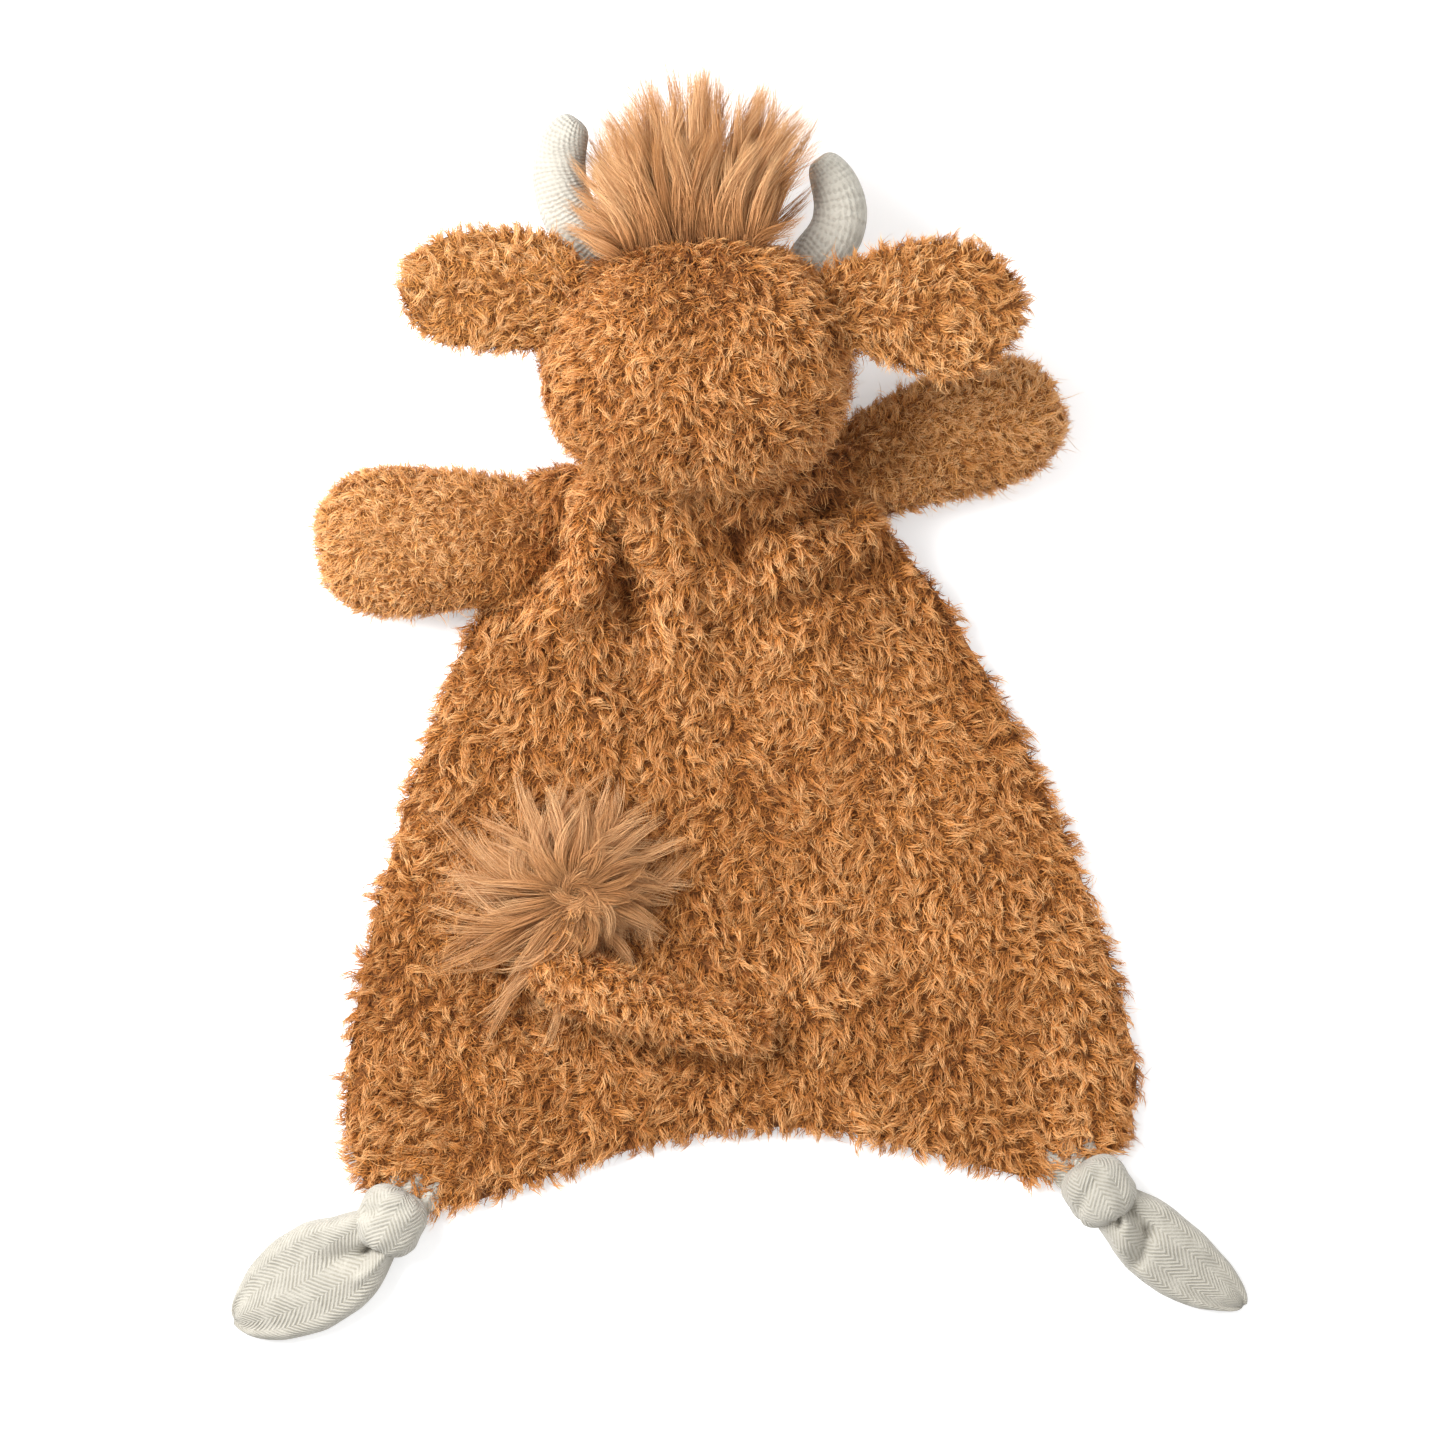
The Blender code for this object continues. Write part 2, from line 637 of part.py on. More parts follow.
def build_arm(shop, blanket, word, shares, angle):
    """An arm of two plush panels round its filling, and the notch it is set in."""
    ahead = heading(angle)
    axis_point = blanket.top(*shares) - UP * ARM_AXIS_DEPTH
    hinge = Hinge(f"{word}_shoulder_hinge", axis_point, ahead.cross(UP), shop.pieces)
    root = axis_point - ahead * ARM_ROOT_ROUND - UP * ARM_ROOT_DROP
    tip = root + ahead * (ARM_ROOT_ROUND + ARM_LENGTH)
    tip.z = ARM_HALF_HEIGHT - FLOOR_CUT
    bend = root.lerp(tip, ARM_BEND_SHARE)
    bend.z = tip.z
    arm = Form(
        (root, bend, tip),
        ARM_HALF_WIDTH,
        ARM_HALF_HEIGHT,
        ARM_WIDTH_SHARES,
        ARM_HEIGHT_SHARES,
        bluntness=3.6,
        on_floor=True,
    )
    for name, side in ((f"{word}_arm_back", BACK), (f"{word}_arm_front", -BACK)):
        shop.piece(name, surface(name, arm, 12, 12, wall=ARM_WALL, sides=(side,)), CARAMEL_PLUSH, hinge)
    filling = surface(f"{word}_arm_stuffing", arm, 12, 12, inset=ARM_WALL + GAP)
    shop.piece(filling.name, filling, FIBRE_FILLING, hinge)
    near = ARM_HALF_WIDTH * share_at(ARM_WIDTH_SHARES, 0) + NOTCH_ROOM
    far = ARM_HALF_WIDTH * share_at(ARM_WIDTH_SHARES, NOTCH_LENGTH_SHARE) + NOTCH_ROOM
    wall = axis_point - ahead * (ARM_ROOT_ROUND + GAP)
    name = f"{word}_arm_notch"
    return shop.cutter(name, wedge(name, wall, ahead, near, far, ARM_LENGTH * NOTCH_LENGTH_SHARE, OVERRUN))


def build_tail(shop, blanket):
    """The plush tail tube sewn at the centre-back seam, and the long-haired tuft on its end."""
    ahead = heading(TAIL_HEADING)
    root_radius = TAIL_RADIUS * share_at(TAIL_SHARES, 0)
    axis_point = blanket.top(*TAIL_ROOT_SHARES) + UP * (GAP + root_radius)
    hinge = Hinge("tail_hinge", axis_point, ahead.cross(UP), shop.pieces)
    lie = UP * (TAIL_RADIUS - root_radius + TAIL_LIFT)
    end = blanket.top(*TAIL_END_SHARES) + UP * (GAP + TAIL_RADIUS + TAIL_LIFT)
    root = axis_point - ahead * root_radius
    bends = [axis_point + ahead * (TAIL_LENGTH * share) + lie for share in TAIL_BEND_SHARES]
    tail = Form((root, *bends, end), TAIL_RADIUS, TAIL_RADIUS, TAIL_SHARES, TAIL_SHARES, bluntness=6)
    cover = surface("tail_cover", tail, 10, 14, wall=TAIL_WALL, open_root=True)
    shop.piece("tail_cover", cover, CARAMEL_PLUSH, hinge)
    core = surface("tail_stuffing", tail, 10, 14, inset=TAIL_WALL + GAP)
    shop.piece("tail_stuffing", core, FIBRE_FILLING, hinge)
    tuft_sizes = Vector((TUFT_HALF_WIDTH, TUFT_HALF_LENGTH, TUFT_HALF_HEIGHT))
    centre = blanket.top(*TAIL_END_SHARES) + UP * (GAP + TUFT_HALF_HEIGHT)
    tuft = shop.piece("tail_tuft", surface("tail_tuft", Ball(centre, tuft_sizes), 18, 8), PALE_HAIR, hinge)
    cut(tuft, shop.cutter("tail_room", surface("tail_room", tail, 10, 14, inset=-GAP)))


def build_tab(shop, blanket, word, side, strap_angle, leaf_angle, leaf_half_width):
    """A cream strap that leaves the blanket's corner, its knot and its loose leaf-shaped end."""
    across, along = TAB_SHARES
    strap_ahead, leaf_ahead = heading(strap_angle), heading(leaf_angle)
    axis_point = blanket.top(side * across, along) - UP * TAB_AXIS_DEPTH
    mean_ahead = (strap_ahead + leaf_ahead).normalized()
    hinge = Hinge(f"{word}_tab_hinge", axis_point, mean_ahead.cross(UP), shop.pieces)
    knot_centre = axis_point + strap_ahead * STRAP_LENGTH
    knot_centre.z = KNOT_HALF_HEIGHT - FLOOR_CUT
    reach = strap_ahead * KNOT_HALF_LENGTH
    knot = Form(
        (knot_centre - reach, knot_centre + reach),
        KNOT_HALF_WIDTH,
        KNOT_HALF_HEIGHT,
        KNOT_WIDTH_SHARES,
        bluntness=2,
        on_floor=True,
    )
    shop.piece(f"{word}_tab_knot", surface("knot", knot, 14, 8), CREAM_FABRIC, hinge)
    knot_cutter = shop.cutter(f"{word}_knot_room", surface("knot_room", knot, 14, 8, inset=-GAP))
    strap_root = axis_point - mean_ahead * STRAP_ROOT_ROUND
    strap_bend = axis_point + mean_ahead * (STRAP_LENGTH / 2)
    strap = Form((strap_root, strap_bend, knot_centre), STRAP_HALF_WIDTH, STRAP_HALF_HEIGHT, bluntness=6)
    cut(shop.piece(f"{word}_tab_strap", surface("strap", strap, 8, 8), CREAM_FABRIC, hinge), knot_cutter)
    tip = knot_centre + leaf_ahead * LEAF_LENGTH
    tip.z = LEAF_HALF_HEIGHT - FLOOR_CUT
    bend = knot_centre.lerp(tip, LEAF_BEND_SHARE)
    bend.z = tip.z
    leaf = Form(
        (knot_centre, bend, tip),
        leaf_half_width,
        LEAF_HALF_HEIGHT,
        LEAF_WIDTH_SHARES,
        LEAF_HEIGHT_SHARES,
        bluntness=3,
        on_floor=True,
    )
    cut(shop.piece(f"{word}_tab_leaf", surface("leaf", leaf, 14, 12), CREAM_FABRIC, hinge), knot_cutter)
    near, far = STRAP_HALF_WIDTH + NOTCH_ROOM, KNOT_HALF_WIDTH + 2 * NOTCH_ROOM
    wall = axis_point - mean_ahead * (STRAP_ROOT_ROUND + GAP)
    name = f"{word}_tab_notch"
    return shop.cutter(name, wedge(name, wall, mean_ahead, near, far, STRAP_LENGTH + KNOT_HALF_LENGTH, OVERRUN))


def main():
    clear_scene()
    shop = Workshop(new_collection("comfort_blanket_lovey"), new_collection("cutters"))
    head, nod_point, neck_rise = head_shape()
    blanket = Blanket(neck_rise)
    nod = Hinge("neck_hinge", nod_point, Vector((1, 0, 0)), shop.pieces)
    muzzle = muzzle_shape(head)
    head_cutter = build_head(shop, head, muzzle, nod)
    build_topknot(shop, head, head_cutter, nod)
    build_horn(shop, head, "left", LEFT_HORN_DIRECTION, LEFT_HORN_LENGTH, LEFT_HORN_HEADING, nod)
    build_horn(shop, head, "right", RIGHT_HORN_DIRECTION, RIGHT_HORN_LENGTH, RIGHT_HORN_HEADING, nod)
    build_ear(shop, head, "left", LEFT, LEFT_EAR_LENGTH, LEFT_EAR_HEADING, nod)
    build_ear(shop, head, "right", RIGHT, RIGHT_EAR_LENGTH, RIGHT_EAR_HEADING, nod)
    notches = [
        build_arm(shop, blanket, "left", LEFT_SHOULDER_SHARES, LEFT_ARM_HEADING),
        build_arm(shop, blanket, "right", RIGHT_SHOULDER_SHARES, RIGHT_ARM_HEADING),
        build_tab(shop, blanket, "left", LEFT, LEFT_STRAP_HEADING, LEFT_LEAF_HEADING, LEFT_LEAF_HALF_WIDTH),
        build_tab(shop, blanket, "right", RIGHT, RIGHT_STRAP_HEADING, RIGHT_LEAF_HEADING, RIGHT_LEAF_HALF_WIDTH),
    ]
    build_tail(shop, blanket)
    build_blanket(shop, blanket, notches)


if __name__ == "__main__":
    main()
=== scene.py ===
"""How the comfort blanket lovey looks: wavy plush, long brushed hair, ribbed cream fabric and stitched features.

The toy lies on its front, so the camera above it sees its back. Every cloth surface is a mesh of its own over the
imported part, and its pile is real strands rooted on that mesh. Sizes in the classes are in millimetres.
"""

import logging
import math
from dataclasses import dataclass, field
from enum import Enum
from typing import Callable

import bpy
import numpy as np
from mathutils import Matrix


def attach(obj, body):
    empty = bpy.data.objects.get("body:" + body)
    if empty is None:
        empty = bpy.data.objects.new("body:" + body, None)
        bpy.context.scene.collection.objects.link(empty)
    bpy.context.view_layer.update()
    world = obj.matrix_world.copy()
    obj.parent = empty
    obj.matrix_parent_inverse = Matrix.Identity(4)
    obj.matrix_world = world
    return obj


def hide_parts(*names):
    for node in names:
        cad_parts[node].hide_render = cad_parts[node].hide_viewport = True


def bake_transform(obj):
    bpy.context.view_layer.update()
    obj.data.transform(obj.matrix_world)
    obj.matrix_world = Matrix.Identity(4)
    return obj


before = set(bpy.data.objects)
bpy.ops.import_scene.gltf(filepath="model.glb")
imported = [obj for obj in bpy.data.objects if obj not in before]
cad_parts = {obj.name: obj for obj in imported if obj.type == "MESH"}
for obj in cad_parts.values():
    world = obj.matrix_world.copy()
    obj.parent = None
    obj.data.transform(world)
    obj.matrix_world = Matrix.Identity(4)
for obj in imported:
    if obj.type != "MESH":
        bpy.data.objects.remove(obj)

Array = np.ndarray
Relief = Callable[[Array, Array], Array]
Nap = Callable[[Array], Array]
Tone = float | Callable[[Array], Array]
Point = tuple[float, float, float]
Table = tuple[tuple[float, float], ...]  # pairs of a place, mostly a share from 0 to 1, and the value there
Lines = tuple[tuple[float, float, float, float, float, float], ...]  # each has a start, an end, a height and a width

LOG = logging.getLogger("lovey")
MM = 0.001
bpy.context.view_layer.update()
MOST_FACES = 48000  # strand faces in one piece, each up to two triangles
UP = np.array((0.0, 0.0, 1.0))
HEAD_X = -9.53  # the middle of the head, in millimetres
BACKING = (0.3, 0.16, 0.0)  # the knitted backing takes the dark colour near a fibre's root, partly painted shade in the gaps between tufts
STRAND_FACTS = ("lines", "widths", "sides", "tones", "tips")
TABLE_GAP = 0.15  # how far the fibres stay over the table, in millimetres
MATTED_SEED, WISP_SEED = 500, 900  # added to a cloth's seed for its other fibres
WISP_TONE = 0.8


class Side(Enum):
    """The toy's two sides as the camera sees them, with the way that each lies along X."""

    LEFT = -1
    RIGHT = 1

    @property
    def word(self) -> str:
        """The side's word in the names of pieces."""
        return self.name.lower()


# Numbers and vectors


def unit(vectors: Array) -> Array:
    """The vectors at length 1.

    Args:
        vectors: One or more vectors, along the last axis.

    Returns:
        Vectors of the same shape.
    """
    return vectors / np.maximum(np.linalg.norm(vectors, axis=-1, keepdims=True), 1e-12)


def smooth(value: Array, low: float, high: float) -> Array:
    """Rises smoothly from 0 at low to 1 at high.

    Args:
        value: The values to ease.
        low: Where the rise starts.
        high: Where it ends.

    Returns:
        Values from 0 to 1.
    """
    t = np.clip((value - low) / (high - low), 0, 1)
    return t * t * (3 - 2 * t)


def bump(value: Array, middle: float, width: float) -> Array:
    """A soft hump of height 1 round the middle."""
    return np.exp(-(((value - middle) / width) ** 2))


def distance(places: Array, start: tuple[float, float], end: tuple[float, float]) -> Array:
    """How far places in the plane are from a line between two points.

    Args:
        places: The places, one a row.
        start: One end of the line.
        end: Its other end.

    Returns:
        One distance a place.
    """
    run = np.subtract(end, start)
    share = np.clip((places - start) @ run / (run @ run), 0, 1)
    return np.linalg.norm(places - start - share[:, None] * run, axis=1)


def lumps(places: Array, size: float, seed: int) -> Array:
    """Gentle unevenness from about -1 to 1, as stuffing and gathered cloth have.

    Args:
        places: Points in millimetres.
        size: How wide a lump is, in millimetres.
        seed: Picks the pattern.

    Returns:
        One value a point.
    """
    rng = np.random.default_rng(seed)
    total = np.zeros(len(places))
    waves, highest = 7, 3.2
    for _ in range(waves):
        wave = unit(rng.normal(size=3)) * math.pi / (size * rng.uniform(0.7, 1.5))
        total += np.sin(places @ wave + rng.uniform(0, 2 * math.pi))
    return total / highest


def ridges(lines: Lines, places: Array) -> Array:
    """The height of rounded ridges, and of hollows where a line's height is negative.

    Args:
        lines: The line that each ridge follows in the plane, with its height and width.
        places: Where to read the height, one place a row.

    Returns:
        One height a place.
    """
    total = np.zeros(len(places))
    for x0, y0, x1, y1, height, width in lines:
        total += height * bump(distance(places, (x0, y0), (x1, y1)), 0, width)
    return total


def shares(table: Table, place: Array) -> Array:
    """Reads a table of (place, value) pairs at places between 0 and 1, rounded off between its points.

    Args:
        table: The pairs, in order of place.
        place: Where to read it.

    Returns:
        The values there.
    """
    places, values = np.array(table).T
    fine = np.linspace(0, 1, 101)
    line = np.interp(fine, places, values)
    for _ in range(3):
        line[1:-1] = (line[:-2] + 2 * line[1:-1] + line[2:]) / 4
    return np.interp(place, fine, line)


# Shapes, in millimetres in the row frame


@dataclass
class Ball:
    """A rounded ball. A power of 2 is an ellipsoid, and more is boxier."""

    centre: Point
    half_sizes: Point
    power: float = 2.0
    floor: float | None = None

    def points(self, units: Array) -> Array:
        """Where the unit sphere's points go.

        Args:
            units: Points of the unit sphere, with Z up.

        Returns:
            Points on the ball.
        """
        reach = (np.abs(units) ** self.power).sum(1) ** (1 / self.power)
        made = np.array(self.centre) + units / reach[:, None] * np.array(self.half_sizes)
        if self.floor is not None:
            made[:, 2] = np.maximum(made[:, 2], self.floor)
        return made


@dataclass
class Form:
    """A stuffed form of oval sections along a bent line, from its root (unit z -1) to its tip (unit z 1)."""

    spine: tuple[Point, ...]
    half_width: float
    half_height: float
    widths: Table = ((0, 1), (1, 1))
    heights: Table = ((0, 1), (1, 1))
    bluntness: float = 2.4
    floor: float | None = None
    up: Point = (0, 0, 1)

    def middle(self, along: Array) -> Array:
        """The points of the bent line.

        Args:
            along: Shares of its length.

        Returns:
            One point a share.
        """
        points = [np.array(p) * np.ones((len(along), 1)) for p in self.spine]
        while len(points) > 1:
            points = [a + (b - a) * along[:, None] for a, b in zip(points, points[1:])]
        return points[0]

    def axes(self, along: Array) -> tuple[Array, Array, Array]:
        """The form's own directions.

        Args:
            along: Shares of its length.

        Returns:
            The directions across, over and along the form at each share.
        """
        step = 0.002
        ahead = unit(self.middle(along + step) - self.middle(along - step))
        across = unit(np.cross(np.array(self.up), ahead))
        return across, np.cross(ahead, across), ahead

    def points(self, units: Array) -> Array:
        """Where the unit sphere's points go.

        Args:
            units: Points of the unit sphere, with z from root to tip.

        Returns:
            Points on the form.
        """
        along = (1 + units[:, 2]) / 2
        ring = np.maximum(0, 1 - np.abs(units[:, 2]) ** self.bluntness) ** (1 / self.bluntness)
        angle = np.arctan2(units[:, 1], units[:, 0])
        across, over, _ = self.axes(along)
        width = self.half_width * shares(self.widths, along) * ring * np.cos(angle)
        height = self.half_height * shares(self.heights, along) * ring * np.sin(angle)
        made = self.middle(along) + across * width[:, None] + over * height[:, None]
        if self.floor is not None:
            made[:, 2] = np.maximum(made[:, 2], self.floor)
        return made


@dataclass
class Skin:
    """A cloth surface: its points, its faces, and a place in millimetres for each corner, for its ribs."""

    points: Array
    faces: list[tuple[int, ...]]
    places: list[tuple[tuple[float, float], ...]]

    def triangles(self) -> Array:
        """The faces as triangles."""
        made = [(f[0], f[i], f[i + 1]) for f in self.faces for i in range(1, len(f) - 1)]
        return np.array(made)

    def normals(self) -> Array:
        """The directions out of the surface.

        Returns:
            One direction a point.
        """
        tri = self.triangles()
        a, b, c = (self.points[tri[:, i]] for i in range(3))
        face = np.cross(b - a, c - a)
        total = np.zeros_like(self.points)
        for i in range(3):
            np.add.at(total, tri[:, i], face)
        return unit(total)

    def part(self, keep: Callable[[Array], Array]) -> "Skin":
        """The faces whose middles the test keeps.

        Args:
            keep: Takes the middles of the faces and says which stay.

        Returns:
            A skin with only those faces.
        """
        middles = np.array([self.points[list(f)].mean(0) for f in self.faces])
        chosen = np.flatnonzero(keep(middles))
        used = sorted({i for k in chosen for i in self.faces[k]})
        place = {old: new for new, old in enumerate(used)}
        faces = [tuple(place[i] for i in self.faces[k]) for k in chosen]
        return Skin(self.points[used], faces, [self.places[k] for k in chosen])

    def spots(self, count: int, rng: np.random.Generator) -> tuple[Array, Array]:
        """Points spread evenly over the surface.

        Args:
            count: How many.
            rng: The seeded source of chance.

        Returns:
            The points and the directions out of the surface there.
        """
        tri, normals = self.triangles(), self.normals()
        a, b, c = (self.points[tri[:, i]] for i in range(3))
        area = np.linalg.norm(np.cross(b - a, c - a), axis=1)
        steps = (np.arange(count) + rng.uniform(size=count)) / count
        pick = np.searchsorted(np.cumsum(area) / area.sum(), steps).clip(0, len(tri) - 1)
        r, s = rng.uniform(size=(2, count))
        r = np.sqrt(r)
        mix = np.stack([1 - r, r * (1 - s), r * s], 1)[:, :, None]
        chosen = tri[pick]
        return (self.points[chosen] * mix).sum(1), unit((normals[chosen] * mix).sum(1))

    def area(self) -> float:
        """The surface's size.

        Returns:
            The area in square millimetres.
        """
        tri = self.triangles()
        a, b, c = (self.points[tri[:, i]] for i in range(3))
        return float(np.linalg.norm(np.cross(b - a, c - a), axis=1).sum() / 2)


def wrap(shape: Ball | Form, columns: int, rings: int, relief: Relief | None = None, girth: float = 40.0) -> Skin:
    """Lays a net of faces over a shape.

    Args:
        shape: The shape to cover.
        columns: Faces round it.
        rings: Faces from end to end.
        relief: Height over the shape in millimetres, from the angle round it and the share along it.
        girth: The length round it that its ribs are scaled by, in millimetres.

    Returns:
        The closed skin.
    """
    theta = np.pi * np.arange(rings + 1) / rings
    phi = 2 * np.pi * np.arange(columns) / columns
    inner = [(math.sin(t) * math.cos(p), math.sin(t) * math.sin(p), -math.cos(t)) for t in theta[1:-1] for p in phi]
    units = np.array([(0, 0, -1), *inner, (0, 0, 1)])
    points = shape.points(units)
    last = len(units) - 1
    profile = shape.points(np.array([(math.sin(t), 0.0, -math.cos(t)) for t in theta]))
    run = np.r_[0, np.cumsum(np.linalg.norm(np.diff(profile, axis=0), axis=1))]

    def index(row: int, column: int) -> int:
        """The number of the net's point there."""
        return 0 if row == 0 else last if row == rings else 1 + (row - 1) * columns + column % columns

    faces, places = [], []
    for row in range(rings):
        for column in range(columns):
            corners = ((row, column), (row, column + 1), (row + 1, column + 1), (row + 1, column))
            kept, at = [], []
            for r, c in corners:
                if index(r, c) not in kept:
                    kept.append(index(r, c))
                    at.append((girth * c / columns, run[r]))
            faces.append(tuple(kept))
            places.append(tuple(at))
    skin = Skin(points, faces, places)
    if relief:
        angle, along = np.arctan2(units[:, 1], units[:, 0]), (1 + units[:, 2]) / 2
        skin.points = points + skin.normals() * relief(angle, along)[:, None]
        if shape.floor is not None:
            skin.points[:, 2] = np.maximum(skin.points[:, 2], shape.floor)
    return skin


# Pile


@dataclass(frozen=True)
class Pile:
    """How a cloth's fibres stand. Lengths are in millimetres and angles in degrees.

    Fibres are drawn wider than real ones (0.02 mm), because finer ones don't show at this distance.

    Attributes:
        length: A fibre's length.
        tufts_per_cm2: How closely the tufts stand.
        fibres: Fibres in a tuft.
        spread: A tuft's radius at its root.
        width: A fibre's width.
        lean: How far the tufts lean from upright.
        curl: The radius of a tuft's curl.
        turns: How many turns the curl makes.
        sway: How far neighbouring tufts turn away from the nap.
        stray: How far single fibres leave their tuft, as a share of their length.
        tip: How bright the tips get, from 0 to 1.
        segments: Faces along a fibre.
    """

    length: float
    tufts_per_cm2: float
    fibres: int
    spread: float
    width: float
    lean: float
    curl: float
    turns: float
    sway: float
    stray: float
    tip: float = 1.0
    segments: int = 4


class PileKind(Enum):
    """The piles on the toy: the tufts on top, and the short matted fibres between them."""

    WAVY = Pile(6.4, 20.0, 18, 1.20, 0.22, 58, 0.85, 0.66, 56, 0.06)
    HEAD = Pile(5.6, 24.0, 16, 1.10, 0.20, 55, 0.75, 0.66, 54, 0.07)
    LIMB = Pile(4.6, 32.0, 14, 0.95, 0.19, 52, 0.60, 0.62, 56, 0.08)
    MATTED = Pile(4.0, 75.0, 3, 0.9, 0.28, 54, 0.45, 0.70, 180, 0.12, 0.52)
    FUZZ = Pile(3.6, 95.0, 3, 0.9, 0.20, 50, 0.45, 0.70, 180, 0.12, 0.82)
    WISP = Pile(7.4, 7.0, 3, 1.3, 0.14, 42, 0.70, 0.60, 80, 0.09)


@dataclass
class Strands:
    """Fibres as lines of points, with their widths, the way they face, a tone and how bright their tips get."""

    lines: Array
    widths: Array
    sides: Array
    tones: Array
    tips: Array

    def taken(self, keep: Array) -> "Strands":
        """Only the fibres that keep picks."""
        return Strands(*(getattr(self, name)[keep] for name in STRAND_FACTS))


def joined(parts: list[Strands]) -> Strands:
    """All the fibres of several lots."""
    return Strands(*(np.concatenate([getattr(p, name) for p in parts]) for name in STRAND_FACTS))


def grow(skin: Skin, pile: Pile, nap: Nap, seed: int, amount: float = 1.0, tone: Tone = 0.5) -> Strands:
    """Grows tufts of fibres out of a skin.

    Args:
        skin: The cloth that they are rooted on.
        pile: How they stand.
        nap: The direction that they lean in, at each root.
        seed: Picks the pattern.
        amount: A share of the pile's tufts.
        tone: How pale the tufts are on average, from 0 to 1, or a function that gives this at each root. Below 0
        the tips darken too, as painted shade in creases.

    Returns:
        The fibres, in millimetres.
    """
    # The tufts: where they stand, which way and how far they lean, and how pale they are
    rng = np.random.default_rng(seed)
    tufts = max(4, int(skin.area() / 100 * pile.tufts_per_cm2 * amount))
    roots, normals = skin.spots(tufts, rng)
    lean_way = nap(roots)
    side_way = np.cross(normals, lean_way)
    turn = np.radians(pile.sway) * (lumps(roots, 9, seed + 1) + 0.55 * rng.normal(size=tufts))
    way = lean_way * np.cos(turn)[:, None] + side_way * np.sin(turn)[:, None]
    way = unit(way - normals * (way * normals).sum(1, keepdims=True))
    size = 1 + 0.18 * rng.normal(size=tufts)
    lean = np.radians(pile.lean + 9 * rng.normal(size=tufts)).clip(0.35, 1.4)
    level = tone(roots) if callable(tone) else np.full(tufts, tone)
    # painted shade: tips dim where the tone falls below 0, as down in creases
    painted_shade_dim = np.clip(1 + 0.9 * np.minimum(level, 0), 0.4, 1)
    tones = (level + 0.22 * lumps(roots, 14, seed + 2) + 0.24 * rng.normal(size=tufts)).clip(0, 1)
    phase = rng.uniform(0, 2 * np.pi, tufts)
    hand = rng.choice((-1.0, 1.0), tufts)

    # Their fibres: how far from the tuft's middle each is rooted, its length, and how it strays
    n = tufts * pile.fibres
    of = np.repeat(np.arange(tufts), pile.fibres)
    b = np.cross(normals, way)
    reach = pile.spread * np.sqrt(rng.uniform(size=n)) * 1.35
    angle = rng.uniform(0, 2 * np.pi, n)
    offset = (way[of] * np.cos(angle)[:, None] + b[of] * (0.8 * np.sin(angle))[:, None]) * reach[:, None]
    length = pile.length * size[of] * rng.uniform(0.7, 1.1, n) * (1 - 0.2 * (reach / pile.spread) ** 2)
    stray = rng.standard_t(3, (n, 3)).clip(-5, 5) * (pile.stray * length)[:, None]

    # Their paths: forward and up, round the tuft's curl, and together at the tip
    tilt = lean[of]
    t = np.linspace(0, 1, pile.segments + 1)[None, :, None]
    forward = (length * np.sin(tilt))[:, None, None] * t**1.15
    lift = (length * np.cos(tilt))[:, None, None] * (1.25 * t - 0.45 * t * t)
    twist = (2 * np.pi * pile.turns * t + phase[of][:, None, None]) * hand[of][:, None, None]
    coil = pile.curl * size[of][:, None, None] * np.minimum(1, 1.6 * t)
    over = unit(np.cross(b, way * np.sin(lean)[:, None] + normals * np.cos(lean)[:, None]))
    start = (b * (np.cos(phase * hand))[:, None] + over * (np.sin(phase * hand))[:, None])[of][:, None]
    lines = (
        roots[of][:, None]
        + offset[:, None] * (0.75 + 0.8 * t) * (1 - 0.95 * t**2.2)
        + way[of][:, None] * forward
        + normals[of][:, None] * (lift - 0.25)
        + (b[of][:, None] * np.cos(twist) + over[of][:, None] * np.sin(twist) - start * (1 - t)) * coil
        + stray[:, None] * t**1.5
    )

    # The way that each blade faces
    roll = rng.uniform(-0.9, 0.9, n)
    facing = normals[of] * np.cos(roll)[:, None] + b[of] * np.sin(roll)[:, None]
    sides = unit(np.cross(lines[:, -1] - lines[:, 0], facing))
    widths = pile.width * rng.uniform(0.7, 1.25, n)
    tones = (tones[of] + 0.15 * rng.normal(size=n)).clip(0, 1)
    lines[:, :, 2] = np.maximum(lines[:, :, 2], TABLE_GAP)
    return Strands(lines, widths, sides, tones, pile.tip * painted_shade_dim[of])


def plush(skin: Skin, kind: PileKind, nap: Nap, seed: int, amount: float = 1.0, tone: Tone = 0.5) -> Strands:
    """Grows the tufts of a plush cloth, the matted fibres between them and a few that stand out.

    Args:
        skin: The cloth.
        kind: Its pile.
        nap: The direction that the tufts lean in, at each root.
        seed: Picks the pattern.
        amount: A share of the usual number of tufts.
        tone: How pale the tufts are on average, as in grow.

    Returns:
        All its fibres.
    """
    tufts = grow(skin, kind.value, nap, seed, amount, tone)
    under = PileKind.FUZZ if kind is PileKind.LIMB else PileKind.MATTED
    matted = grow(skin, under.value, nap, seed + MATTED_SEED, amount, tone)
    wisps = grow(skin, PileKind.WISP.value, nap, seed + WISP_SEED, amount, WISP_TONE)
    return joined([tufts, matted, wisps])


